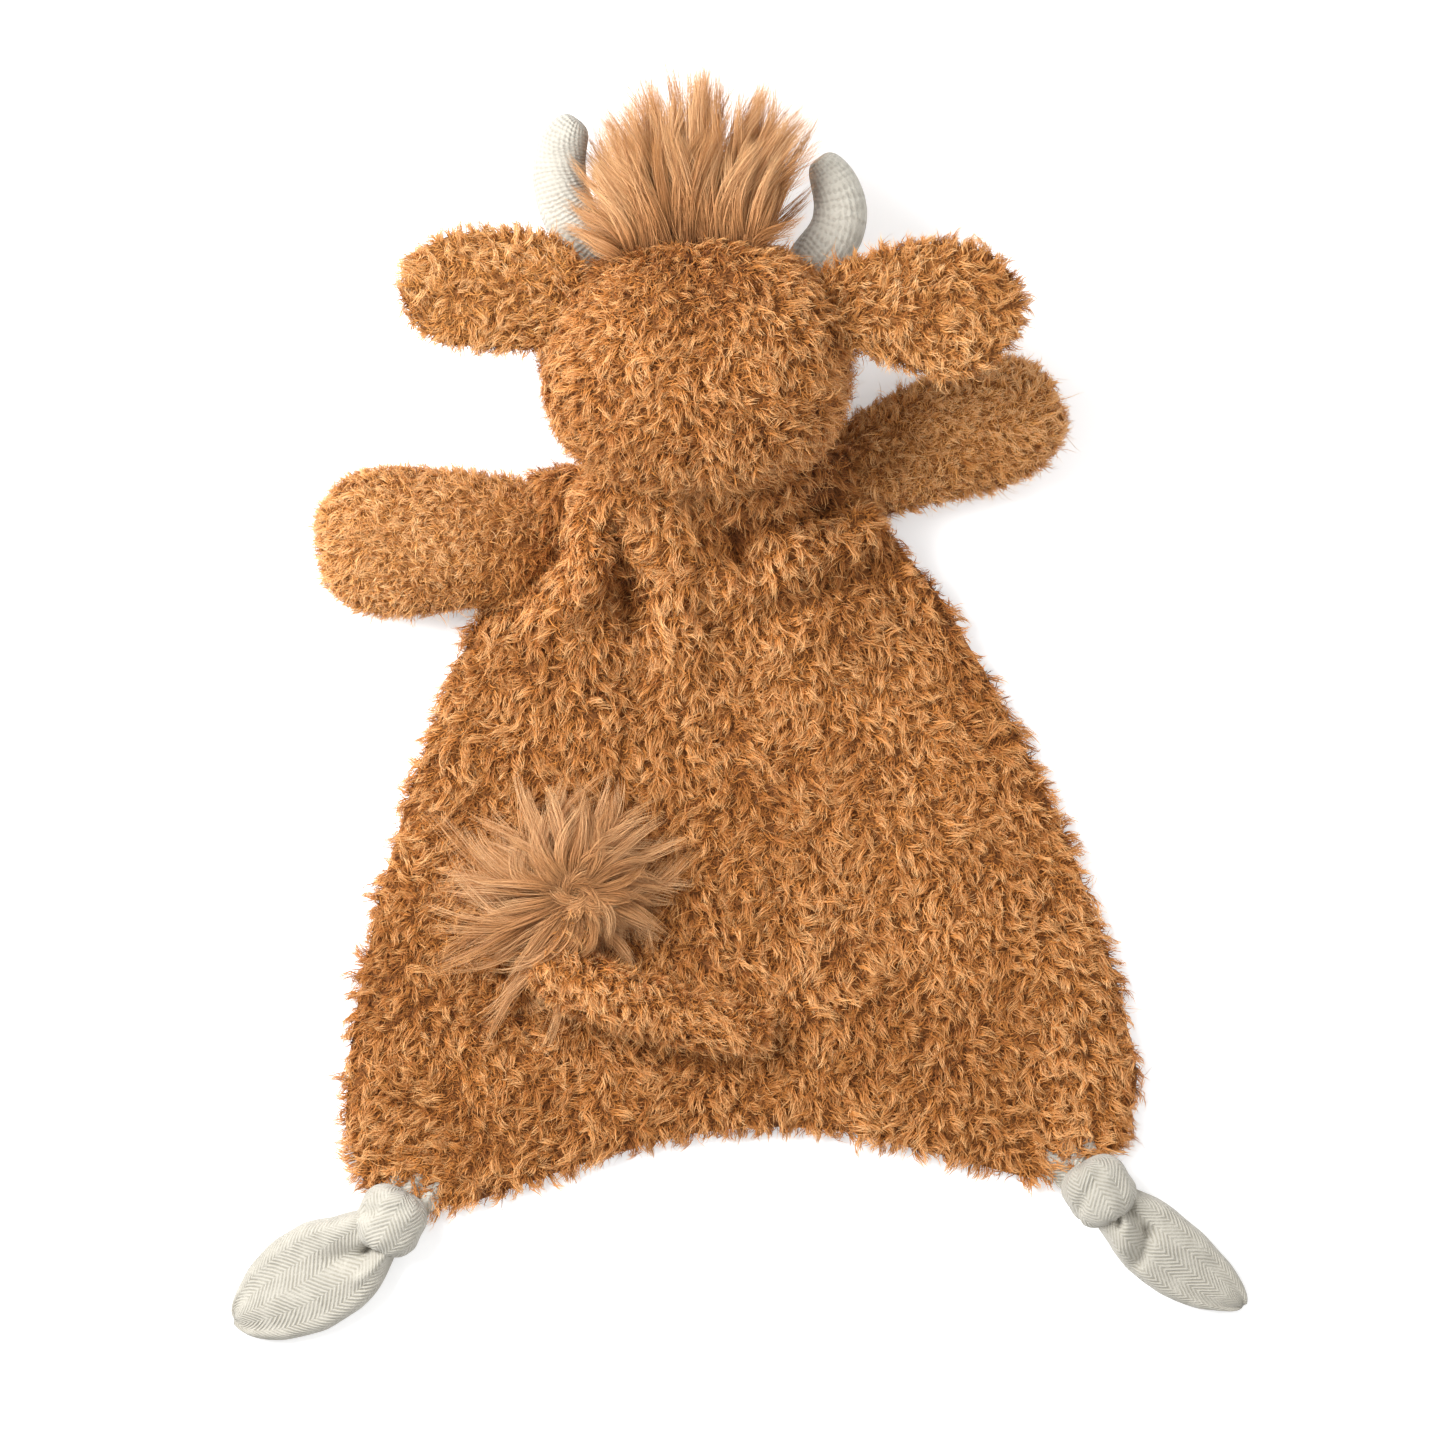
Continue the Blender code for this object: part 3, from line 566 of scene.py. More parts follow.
def strand_mesh(name: str, strands: Strands) -> bpy.types.Mesh:
    """Makes flat tapering blades of the fibres.

    Args:
        name: The mesh's name.
        strands: The fibres, in millimetres.

    Returns:
        The mesh in metres, with each point's tone and share along its fibre in the attribute "strand".
    """
    # The points: two beside the line at each step, and one at the tip
    count, steps = strands.lines.shape[:2]
    steps -= 1
    taper = np.sqrt(np.maximum(0, 1 - (np.arange(steps) / steps) ** 2.2)) * 0.5
    half = strands.sides[:, None] * (strands.widths[:, None] * taper)[:, :, None]
    body = strands.lines[:, :-1]
    pairs = np.stack([body - half, body + half], 2).reshape(count, 2 * steps, 3)
    points = np.concatenate([pairs, strands.lines[:, -1:]], 1).reshape(-1, 3) * MM

    # The faces: four-sided, with a triangle at the tip
    each = 2 * steps + 1
    quads = np.array([(2 * k, 2 * k + 1, 2 * k + 3, 2 * k + 2) for k in range(steps - 1)]).ravel()
    corners = np.concatenate([quads, (2 * steps - 2, 2 * steps - 1, 2 * steps)]).astype(np.int32)
    loops = (corners[None] + each * np.arange(count, dtype=np.int32)[:, None]).ravel()
    totals = np.tile(np.array([4] * (steps - 1) + [3], np.int32), count)
    mesh = bpy.data.meshes.new(name)
    mesh.vertices.add(len(points))
    mesh.vertices.foreach_set("co", points.astype(np.float32).ravel())
    mesh.loops.add(len(loops))
    mesh.loops.foreach_set("vertex_index", loops)
    mesh.polygons.add(len(totals))
    mesh.polygons.foreach_set("loop_start", np.concatenate([[0], np.cumsum(totals)[:-1]]).astype(np.int32))
    mesh.polygons.foreach_set("use_smooth", np.ones(len(totals), bool))

    # What the finish reads: the tone, and the share along the fibre times how bright its tip gets
    along = np.concatenate([np.repeat(np.arange(steps) / steps, 2), [1.0]])
    facts = np.zeros((count, each, 3), np.float32)
    facts[:, :, 0] = strands.tones[:, None]
    facts[:, :, 1] = along * strands.tips[:, None]
    mesh.update(calc_edges=True)
    mesh.attributes.new("strand", "FLOAT_VECTOR", "POINT").data.foreach_set("vector", facts.ravel())
    return mesh


# Finishes


def colour(code: str) -> tuple[float, float, float, float]:
    """An sRGB hex colour as linear numbers.

    Args:
        code: Six hex digits.

    Returns:
        Red, green, blue and alpha.
    """
    parts = [int(code[i : i + 2], 16) / 255 for i in (0, 2, 4)]
    return (*(c / 12.92 if c <= 0.04045 else ((c + 0.055) / 1.055) ** 2.4 for c in parts), 1.0)


def add_node(tree: bpy.types.NodeTree, kind: str, inputs: dict | None = None, **settings: object) -> bpy.types.Node:
    """Adds a node with its settings and links.

    Args:
        tree: The material's nodes.
        kind: The node's type.
        inputs: Values or sockets for its inputs, by name or number.
        settings: The node's own settings. stops are a colour ramp's (place, colour) pairs.

    Returns:
        The node.
    """
    node = tree.nodes.new(kind)
    for name, value in settings.items():
        if name == "stops":
            marks = node.color_ramp.elements
            while len(marks) < len(value):
                marks.new(0.5)
            for mark, (place, shade) in zip(marks, value):
                mark.position, mark.color = place, shade
        else:
            setattr(node, name, value)
    for key, value in (inputs or {}).items():
        if isinstance(value, bpy.types.NodeSocket):
            tree.links.new(value, node.inputs[key])
        else:
            node.inputs[key].default_value = value
    return node


def new_material(name: str, **shader: object) -> tuple[bpy.types.Material, bpy.types.NodeTree, bpy.types.Node]:
    """A material with a Principled shader and its constant sockets.

    Args:
        name: What the stuff is called.
        shader: Values for the shader's sockets, with _ for a space.

    Returns:
        The material, its node tree and its shader.
    """
    material = bpy.data.materials.new(name)
    material.use_nodes = True
    tree = material.node_tree
    principled = tree.nodes["Principled BSDF"]
    for key, value in shader.items():
        principled.inputs[key.replace("_", " ")].default_value = value
    return material, tree, principled


def wire(tree: bpy.types.NodeTree, shader: bpy.types.Node, **sockets: bpy.types.NodeSocket) -> None:
    """Links sockets to the shader's inputs, which are named with _ for a space."""
    for name, socket in sockets.items():
        tree.links.new(socket, shader.inputs[name.replace("_", " ")])


@dataclass(frozen=True)
class WavyPlush:
    """Knitted polyester plush with a crimped pile: matt, dark at the roots and bright at the tips of its tufts, partly
    its own colour and partly painted shade deep in the pile and painted highlight at the tips.
    """

    name: str
    root: str
    dark_body: str
    dark_tip: str
    light_body: str
    light_tip: str
    patch_mm: float = 34.0
    crimp_mm: float = 0.9
    relief_mm: float = 0.3
    slot: str = "plush"

    def make(self) -> bpy.types.Material:
        """Builds the material: fibres that pale along their length, by a tone of their own and in soft patches.

        Returns:
            The material.
        """
        material, tree, shader = new_material(self.name, Sheen_Weight=0.05, Specular_IOR_Level=0.4)
        strand = add_node(tree, "ShaderNodeAttribute", attribute_name="strand")
        pale, along, _ = add_node(tree, "ShaderNodeSeparateXYZ", {0: strand.outputs["Vector"]}).outputs
        root = colour(self.root)
        # dark roots are partly painted shade deep in the pile, pale tips partly painted highlight
        dark = [(0.0, root), (0.45, colour(self.dark_body)), (1.0, colour(self.dark_tip))]
        light = [(0.0, root), (0.40, colour(self.light_body)), (1.0, colour(self.light_tip))]
        low = add_node(tree, "ShaderNodeValToRGB", {0: along}, stops=dark)
        high = add_node(tree, "ShaderNodeValToRGB", {0: along}, stops=light)
        place = add_node(tree, "ShaderNodeTexCoord").outputs["Object"]
        patches = add_node(tree, "ShaderNodeTexNoise", {"Vector": place, "Scale": 1 / (self.patch_mm * MM)})
        paler = {"Value": patches.outputs[0], 1: 0.3, 2: 0.7, "To Min": -0.2, "To Max": 0.2}
        shift = add_node(tree, "ShaderNodeMapRange", paler)
        tone = add_node(tree, "ShaderNodeMath", {0: pale, 1: shift.outputs[0]}, use_clamp=True)
        colours = {0: tone.outputs[0], 6: low.outputs[0], 7: high.outputs[0]}
        mix = add_node(tree, "ShaderNodeMix", colours, data_type="RGBA")
        rough = add_node(tree, "ShaderNodeMapRange", {"Value": along, "To Min": 0.9, "To Max": 0.42})
        crimp = add_node(tree, "ShaderNodeTexNoise", {"Vector": place, "Scale": 1 / (self.crimp_mm * MM)})
        depth = {"Height": crimp.outputs[0], "Strength": 0.5, "Distance": self.relief_mm * MM}
        relief = add_node(tree, "ShaderNodeBump", depth)
        wire(tree, shader, Base_Color=mix.outputs[2], Roughness=rough.outputs[0], Normal=relief.outputs[0])
        return material


class WeavePattern(Enum):
    """How a fabric's ribs run."""

    CROSS_RIB = "cross rib"
    HERRINGBONE = "herringbone"


@dataclass(frozen=True)
class RibbedCotton:
    """Brushed cotton with a raised rib: off-white, quite matt, with a soft shadow in each groove.

    The real ribs are about 1 mm apart, and are drawn at pitch_mm so that they show.
    """

    name: str
    pattern: WeavePattern
    face: str = "B9B4A8"
    # painted shadow in the rib grooves
    groove: str = "A09A8B"
    pitch_mm: float = 1.45
    band_mm: float = 9.0
    wobble_mm: float = 0.5
    wear_mm: float = 4.0
    fuzz_mm: float = 0.45
    relief_mm: float = 0.45
    nubs: float = 0.6
    slot: str = "cream"

    def make(self) -> bpy.types.Material:
        """Builds the material: a wave for the ribs, folded to and fro or crossed by another, and worn in places.

        Returns:
            The material.
        """
        material, tree, shader = new_material(self.name, Sheen_Weight=0.25, Sheen_Roughness=0.5)
        cloth = add_node(tree, "ShaderNodeUVMap", uv_map="cloth")
        across, along, _ = add_node(tree, "ShaderNodeSeparateXYZ", {0: cloth.outputs[0]}).outputs
        if self.pattern is WeavePattern.HERRINGBONE:
            band = add_node(tree, "ShaderNodeMath", {0: across, 1: self.band_mm / 2}, operation="PINGPONG")
            along = add_node(tree, "ShaderNodeMath", {0: along, 1: band.outputs[0]}, operation="ADD").outputs[0]
        place = add_node(tree, "ShaderNodeTexCoord").outputs["Object"]
        uneven = {"Vector": place, "Scale": 1 / (self.wear_mm * MM), "Detail": 3.0}
        wear = add_node(tree, "ShaderNodeTexNoise", uneven).outputs[0]
        shift = {0: wear, 1: self.wobble_mm, 2: along}
        moved = add_node(tree, "ShaderNodeMath", shift, operation="MULTIPLY_ADD").outputs[0]
        turns = 2 * math.pi / self.pitch_mm
        turn = add_node(tree, "ShaderNodeMath", {0: moved, 1: turns}, operation="MULTIPLY")
        wave = add_node(tree, "ShaderNodeMath", {0: turn.outputs[0]}, operation="SINE")
        if self.pattern is WeavePattern.CROSS_RIB:
            other = add_node(tree, "ShaderNodeMath", {0: across, 1: turns, 2: moved}, operation="MULTIPLY_ADD")
            cross = add_node(tree, "ShaderNodeMath", {0: other.outputs[0]}, operation="SINE")
            both = {0: cross.outputs[0], 1: self.nubs, 2: wave.outputs[0]}
            wave = add_node(tree, "ShaderNodeMath", both, operation="MULTIPLY_ADD")
        fuzz = add_node(tree, "ShaderNodeTexNoise", {"Vector": place, "Scale": 1 / (self.fuzz_mm * MM), "Detail": 2.0})
        worn = add_node(tree, "ShaderNodeMapRange", {"Value": wear, 1: 0.35, 2: 0.65, "To Min": 0.25, "To Max": 0.7})
        ribs = {0: wave.outputs[0], 1: worn.outputs[0], 2: fuzz.outputs[0]}
        height = add_node(tree, "ShaderNodeMath", ribs, operation="MULTIPLY_ADD").outputs[0]
        # the groove colour in the hollows of the ribs is painted shadow
        stops = [(0.0, colour(self.groove)), (0.45, colour(self.face)), (1.0, colour(self.face))]
        shade = add_node(tree, "ShaderNodeValToRGB", {0: height}, stops=stops)
        depth = {"Height": height, "Strength": 0.6, "Distance": self.relief_mm * MM}
        relief = add_node(tree, "ShaderNodeBump", depth)
        rough = add_node(tree, "ShaderNodeMapRange", {"Value": wear, "To Min": 0.8, "To Max": 0.95})
        wire(tree, shader, Base_Color=shade.outputs[0], Normal=relief.outputs[0], Roughness=rough.outputs[0])
        return material


@dataclass(frozen=True)
class SatinStitch:
    """Rayon embroidery thread in satin stitch: rows of glossy threads that catch the light along them, partly as a
    painted sheen in their colour.

    A thread is about 0.45 mm wide, too fine to show here, so a row is drawn as wide as seven.
    """

    name: str
    face: str = "1C1816"
    painted_sheen: str = "332C29"
    row_mm: float = 3.265
    relief_mm: float = 0.2
    slot: str = "thread"

    def make(self) -> bpy.types.Material:
        """Builds the material: bands of threads with a painted sheen, darker and duller between them.

        Returns:
            The material.
        """
        material, tree, shader = new_material(self.name, Specular_IOR_Level=0.6)
        place = add_node(tree, "ShaderNodeTexCoord").outputs["Object"]
        # The texture's diagonal bands follow the sine of 10 (x + y + z)
        scale = 2 * math.pi / (10 * math.sqrt(3) * self.row_mm * MM)
        bands = {"Vector": place, "Scale": scale, "Distortion": 0.6}
        rows = add_node(tree, "ShaderNodeTexWave", bands, bands_direction="DIAGONAL").outputs[1]
        # the rows' painted sheen
        stops = [(0.2, colour(self.face)), (1.0, colour(self.painted_sheen))]
        shade = add_node(tree, "ShaderNodeValToRGB", {0: rows}, stops=stops)
        relief = add_node(tree, "ShaderNodeBump", {"Height": rows, "Strength": 0.8, "Distance": self.relief_mm * MM})
        rough = add_node(tree, "ShaderNodeMapRange", {"Value": rows, "To Min": 0.6, "To Max": 0.35})
        wire(tree, shader, Base_Color=shade.outputs[0], Normal=relief.outputs[0], Roughness=rough.outputs[0])
        return material


class Finish(Enum):
    """Every finish on the toy."""

    # Knitted plush: dark between its tufts, golden at their tips, partly painted shade and painted highlight
    CARAMEL = WavyPlush("caramel_wavy_plush", "4A260A", "9C591D", "C28038", "D08538", "F6C487")
    # The same plush cropped shorter, so paler
    CROPPED = WavyPlush("caramel_cropped_plush", "5E3514", "B26C2B", "D0934A", "DC984B", "F9CE97")
    # Short-piled knit, flat in colour
    LINING = WavyPlush("caramel_lining_plush", "6A3A16", "A9672C", "C08450", "BC7B3D", "D9A06A", slot="lining")
    # Long brushed fibre, duller and pinker than the plush
    HAIR = WavyPlush("long_brushed_hair", "5A3414", "A56E3C", "BE864F", "C88F59", "E6BA88", 20.0, slot="long_hair")
    # Cream cotton: rows of nubs on the horns, zigzag rows on the tabs, crossed ribs in the ears
    HORN = RibbedCotton("cream_nubbed_chenille", WeavePattern.CROSS_RIB, "BCB7AB", "ACA69A", 1.5, wobble_mm=2.4)
    TAB = RibbedCotton("cream_herringbone_cotton", WeavePattern.HERRINGBONE)
    EAR_LINING = RibbedCotton("cream_cross_ribbed_cotton", WeavePattern.CROSS_RIB)
    # Black thread with a soft gleam, partly painted sheen in its colour
    STITCH = SatinStitch("black_satin_stitch")


# Making pieces


@dataclass(frozen=True)
class Hold:
    """The body that a piece moves with, and for cloth that crosses a joint the second body and the stretch between."""

    body: str
    onto: str | None = None
    start: Point = (0, 0, 0)
    end: Point = (0, 0, 0)


def across_joint(body: str, onto: str, hinge: Point, way: Array | Point, before: float, after: float) -> Hold:
    """A hold over a sewn joint.

    Args:
        body: The body that the root is sewn to.
        onto: The body that moves.
        hinge: The joint's point in millimetres.
        way: The direction from the root to the moving end.
        before: Where the bend starts, in millimetres from the hinge, against the direction.
        after: Where it ends, along the direction. The classes keep both as their bend.

    Returns:
        The hold, in metres.
    """
    point, ahead = np.array(hinge), unit(np.array(way, float))
    start, end = (point - ahead * before) * MM, (point + ahead * after) * MM
    return Hold(body, onto, tuple(start), tuple(end))


@dataclass
class Sewing:
    """Turns skins and strands into pieces on their bodies."""

    finishes: dict[Finish, bpy.types.Material] = field(default_factory=dict)

    def finish(self, which: Finish) -> bpy.types.Material:
        """The finish's material, made once.

        Args:
            which: The finish.

        Returns:
            Its material.
        """
        if which not in self.finishes:
            self.finishes[which] = which.value.make()
        return self.finishes[which]

    def piece(self, mesh: bpy.types.Mesh, which: Finish, hold: Hold) -> bpy.types.Object:
        """Makes a piece of a mesh: on its body, or, where it crosses a joint, left unparented with its transform baked
        in.

        Args:
            mesh: The mesh, which gives the piece its name.
            which: Its finish.
            hold: What it moves with.

        Returns:
            The object.
        """
        mesh.materials.append(self.finish(which))
        made = bpy.data.objects.new(mesh.name, mesh)
        bpy.context.scene.collection.objects.link(made)
        if hold.onto:
            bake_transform(made)
        else:
            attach(made, hold.body)
        LOG.info("%s: %d faces on %s", made.name, len(mesh.polygons), hold.body)
        return made

    def cloth(
        self, name: str, skin: Skin, which: Finish, hold: Hold, *stands_for: str, fill: float | None = None
    ) -> bpy.types.Object:
        """A cloth piece from its skin.

        Args:
            name: The piece's name.
            skin: Its surface, in millimetres.
            which: Its finish.
            hold: What it moves with.
            stands_for: The record's nodes that it takes the place of.
            fill: How firmly it is stuffed, from 0 to 1, or None where it isn't. It is not used.

        Returns:
            The object.
        """
        mesh = bpy.data.meshes.new(name)
        mesh.from_pydata((skin.points * MM).tolist(), [], skin.faces)
        corners = np.array([place for face in skin.places for place in face], np.float32)
        mesh.uv_layers.new(name="cloth").uv.foreach_set("vector", corners.ravel())
        mesh.polygons.foreach_set("use_smooth", np.ones(len(mesh.polygons), bool))
        facts = np.tile(np.array(BACKING, np.float32), len(skin.points))
        mesh.attributes.new("strand", "FLOAT_VECTOR", "POINT").data.foreach_set("vector", facts)
        made = self.piece(mesh, which, hold)
        if stands_for:
            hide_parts(*stands_for)
        return made

    def pile(self, name: str, strands: Strands, which: Finish, hold: Hold) -> None:
        """The fibres as one piece, or as several of a size that exports whole.

        Args:
            name: The name, with a number added where there are several.
            strands: The fibres.
            which: Their finish.
            hold: What they move with.
        """
        count, steps = strands.lines.shape[0], strands.lines.shape[1] - 1
        lots = math.ceil(count * steps / MOST_FACES)
        strip = 25  # millimetres of y in one row of lots
        order = np.lexsort((strands.lines[:, 0, 0], (strands.lines[:, 0, 1] // strip)))
        for k, lot in enumerate(np.array_split(order, lots)):
            label = f"{name}_{k + 1}" if lots > 1 else name
            self.piece(strand_mesh(label, strands.taken(lot)), which, hold)


def outward(centre: Point, drift: Point, share: float) -> Nap:
    """A nap that runs one way and fans out from a centre.

    Args:
        centre: The middle of the fan, in millimetres.
        drift: The direction that it runs in.
        share: How much it fans out.

    Returns:
        The nap.
    """

    def way(roots: Array) -> Array:
        """The direction at each root."""
        out = unit(roots - np.array(centre))
        return unit(unit(np.array(drift, float)) * (1 - share) + out * share)

    return way


# Sub-assemblies


@dataclass
class Blanket:
    """The two-layer blanket: a plush back in two halves on a short-piled lining."""

    neck: tuple[float, float] = (-9.52, 83.05)
    length: float = 167.0  # down the centre-back seam
    half_width: float = 104.3
    turn: float = 4.1  # how far it lies turned, in degrees
    seam_bow: float = 4.8  # how far the seam bows to the right
    hem_drops: tuple[float, float] = (15.5, 19.4)  # how far the left and the right corner hang below the seam
    neck_rise: float = 19.79  # the height of the underside at the neck
    neck_swell: float = 13.0  # how far the back swells up to the head there
    lining: float = 2.2
    thickness: float = 7.0
    gap: float = 0.3  # between the lining and the back
    pressed: float = 1.2  # how far the cloth lies under the part's face, where the pile's roots are
    rim: float = 9.0
    rim_share: float = 0.12  # how thick the cloth still is at its rim
    columns: int = 112
    rows: int = 96
    top: float = -0.03  # where the cloth starts, above the neck, as a share of the length
    neck_half_width: float = 26.0
    flat: tuple[float, float] = (0.105, 0.196)  # one half laid flat, in metres
    area: float = 0.0165  # of its cloth, in square metres
    pale: float = 0.54
    crease_tone: float = 0.16  # painted shade in the hollows and painted light on the ridges, for each millimetre of height in the creases table
    widths: Table = (
        (0, 0.40), (0.07, 0.435), (0.13, 0.50), (0.19, 0.572), (0.30, 0.663), (0.42, 0.754),
        (0.60, 0.865), (0.78, 0.95), (0.92, 0.99), (1, 0.95),
    )
    hem: Table = (
        (0, 0), (0.12, 0.03), (0.27, 0.15), (0.50, 0.53), (0.72, 0.92), (0.88, 1), (1, 0.48),
    )
    # Ridges, and hollows where the height is negative: from (u, v) to (u, v), with a height and a width
    folds: Lines = (
        (0.42, 0.52, 0.84, 0.78, 4.0, 0.11),
        (-0.70, 0.10, -0.46, 0.36, 3.5, 0.11),
        (-0.50, 0.08, -0.33, 0.25, -4.0, 0.08),
        (-0.12, 0.04, -0.16, 0.26, 2.2, 0.13),
        (0.50, 0.08, 0.80, 0.20, -3.0, 0.08),
        (0.66, 0.15, 0.24, 0.27, 2.8, 0.10),
        (-0.93, 0.55, -0.86, 0.80, 1.5, 0.08),
    )
    # Creases of the pile alone, from x, y to x, y, with a height and a width. Their heights also paint shade into the
    # tufts in the hollows and light onto them on the ridges
    creases: Lines = (
        (-62.0, 54.0, -46.5, 64.0, -5.5, 4.0),
        (-46.5, 64.0, -43.0, 80.0, -5.0, 3.5),
        (-38.0, 82.0, -36.5, 61.0, 5.0, 5.0),
        (-36.5, 61.0, -48.0, 47.0, 3.5, 5.0),
        (-32.0, 79.0, -26.0, 48.0, -4.6, 4.0),
        (-19.0, 78.0, -17.0, 46.0, 2.5, 6.0),
        (11.0, 93.0, 24.0, 72.0, -5.0, 5.0),
        (6.0, 71.0, 38.0, 82.0, -4.5, 4.0),
        (0.0, 57.0, 36.0, 73.0, 4.0, 5.0),
        (9.0, 50.0, 42.0, 65.0, -3.5, 4.0),
        (-3.0, 75.0, 3.0, 61.0, -6.5, 4.5),
        (-9.3, 66.0, -4.0, 10.0, -1.2, 1.8),
        (-4.0, 10.0, 0.0, -80.0, -1.0, 1.6),
        (20.0, -36.0, 72.0, -80.0, -1.5, 14.0),
        (10.0, -70.0, -44.0, -58.0, -2.0, 4.0),
    )

    def plan(self, u: Array, v: Array) -> Array:
        """Where the cloth lies on the table.

        Args:
            u: Shares across, from -1 at the left edge to 1 at the right.
            v: Shares along, from 0 at the neck to 1 at the hem.

        Returns:
            The x and y of each pair of shares.
        """
        angle = math.radians(self.turn)
        right = np.array((math.cos(angle), math.sin(angle)))
        down = np.array((math.sin(angle), -math.cos(angle)))
        drop = np.where(u < 0, *self.hem_drops) * shares(self.hem, np.abs(u)) * np.maximum(0, v) ** 3
        aside = self.half_width * shares(self.widths, np.clip(v, 0, 1)) * u
        aside = aside + self.seam_bow * (1 - u * u) * np.sin(np.pi * np.clip(v, 0, 1))
        return np.array(self.neck) + down * (self.length * v + drop)[:, None] + right * aside[:, None]

    def rise(self, u: Array, v: Array) -> Array:
        """The height of the underside, which climbs to the neck and lifts in folds.

        Args:
            u: Shares across.
            v: Shares along.

        Returns:
            The height at each pair of shares.
        """
        folded = ridges(self.folds, np.c_[u, v]) * np.clip(v / 0.16, 0, 1) ** 2
        ramp = 1 - smooth(v, 0, 0.42)
        return np.maximum(0, self.neck_rise * ramp * (1 - 0.55 * u * u) + folded - 0.5)

    def relief(self, places: Array, u: Array, v: Array) -> Array:
        """The swell up to the head, the back's uneven lie and the creases of its pile.

        Args:
            places: The x and y of points of the back.
            u: Their shares across.
            v: Their shares along.

        Returns:
            The height at each point.
        """
        uneven = 0.4 * lumps(np.c_[places, np.zeros(len(places))], 26, 5)
        swell = self.neck_swell * (1 - smooth(v, -0.02, 0.20)) * np.maximum(0, 1 - u * u) ** 0.8
        return (uneven + ridges(self.creases, places)) * smooth(v, 0.0, 0.05) + swell

    def tone(self, roots: Array) -> Array:
        """How pale the back's tufts are: painted shade down in the creases, painted light on the ridges.

        Args:
            roots: Where the tufts are rooted.

        Returns:
            The tone at each root. The tufts lie 3 mm down the back from their roots.
        """
        return self.pale + self.crease_tone * ridges(self.creases, roots[:, :2] - (0, 3.0))

    def sheet(self, low: float, high: float, bottom: float, top: float, folded: bool) -> Skin:
        """A closed sheet between two shares across.

        Args:
            low: Its left side.
            high: Its right side.
            bottom: The height of its underside over the cloth's.
            top: The height of its upper side.
            folded: Whether its upper side has the back's folds.

        Returns:
            The skin.
        """
        columns = max(8, int(self.columns * (high - low) / 2))
        s, t = np.meshgrid(np.linspace(0, 1, columns + 1), np.linspace(0, 1, self.rows + 1))
        u = (low + (high - low) * s).ravel()
        v = (self.top + (1 - self.top) * t).ravel()
        plan = self.plan(u, v)
        edge = np.minimum((1 - np.abs(u)) * self.half_width * 0.8, (1 - v) * self.length)
        round_off = np.sqrt(1 - (1 - np.clip(edge / self.rim, 0, 1)) ** 2)
        rise = self.rise(u, v)
        upper = bottom + (top - bottom) * (self.rim_share + (1 - self.rim_share) * round_off)
        if folded:
            upper = upper + self.relief(plan, u, v) * round_off
        upper = np.maximum(upper, bottom + self.gap)
        points = np.r_[np.c_[plan, rise + upper], np.c_[plan, rise + bottom]]
        wide, half = columns + 1, len(u)
        faces, places = [], []
        for r in range(self.rows):
            for c in range(columns):
                a, b = r * wide + c, (r + 1) * wide + c
                faces.append((b, b + 1, a + 1, a))
                faces.append((half + a, half + a + 1, half + b + 1, half + b))
                places.extend([((c, r), (c + 1, r), (c + 1, r + 1), (c, r + 1))] * 2)
        rim = [r * wide for r in range(self.rows + 1)]
        rim += [self.rows * wide + c for c in range(1, wide)]
        rim += [r * wide + columns for r in range(self.rows - 1, -1, -1)]
        rim += [c for c in range(columns - 1, 0, -1)]
        for a, b in zip(rim, rim[1:] + rim[:1]):
            faces.append((a, a + half, b + half, b))
            places.append(((0, 0), (1, 0), (1, 1), (0, 1)))
        return Skin(points, faces, places)

    def across(self, points: Array, most: float) -> tuple[Array, Array]:
        """The shares across and along of points of the cloth.

        Args:
            points: The points.
            most: The greatest share across.

        Returns:
            The shares across and the shares along.
        """
        v = np.clip((self.neck[1] - points[:, 1]) / self.length, 0, 1)
        wide = self.half_width * shares(self.widths, v)
        return np.clip((points[:, 0] - self.seam_at(points[:, 1])) / wide, -most, most), v

    def seam_at(self, y: Array) -> Array:
        """Where the centre-back seam runs.

        Args:
            y: Places down the back.

        Returns:
            The seam's x at each y.
        """
        count = 60
        line = self.plan(np.zeros(count), np.linspace(self.top, 1, count))
        return np.interp(y, line[::-1, 1], line[::-1, 0])

    def nap(self, roots: Array) -> Array:
        """The way the pile leans: down the back, and out over the sides.

        Args:
            roots: Where the tufts are rooted.

        Returns:
            The direction at each root.
        """
        u, _ = self.across(roots, 1.1)
        return unit(np.c_[0.4 * u + 1.5 * u**5, -np.ones(len(u)), np.zeros(len(u))])

    def shows(self, middles: Array, side: Side) -> Array:
        """Which faces of a half are the back's upper side or its outer rim, and not its underside or its seam.

        Args:
            middles: The middles of the half's faces.
            side: Which half it is.

        Returns:
            One yes or no a face.
        """
        aside = side.value * (middles[:, 0] - self.seam_at(middles[:, 1]))
        under = self.rise(*self.across(middles, 1.0))
        by_neck = np.abs(middles[:, 0] - self.neck[0]) < self.neck_half_width
        open_end = (middles[:, 1] > self.neck[1] + 1.0) & by_neck
        return (middles[:, 2] > under + self.lining + 0.6) & (aside > 0.02) & ~open_end

    def build(self, sewing: Sewing) -> None:
        """Makes the halves of the back, the lining and their piles.

        Args:
            sewing: What makes the pieces.
        """
        hold = Hold("blanket")
        for side, low, high, seed in ((Side.LEFT, -1.0, 0.0, 11), (Side.RIGHT, 0.0, 1.0, 12)):
            name = f"blanket_back_{side.word}"
            skin = self.sheet(low, high, self.lining + self.gap, self.thickness - self.pressed, True)
            back = sewing.cloth(f"{name}_cloth", skin, Finish.CARAMEL, hold, name)
            outer = skin.part(lambda m, s=side: self.shows(m, s))
            strands = plush(outer, PileKind.WAVY, self.nap, seed, 1.0, self.tone)
            sewing.pile(f"{name}_pile", strands, Finish.CARAMEL, hold)
        skin = self.sheet(-1.0, 1.0, 0.0, self.lining, False)
        lining = sewing.cloth("blanket_lining_cloth", skin, Finish.LINING, hold, "blanket_lining")


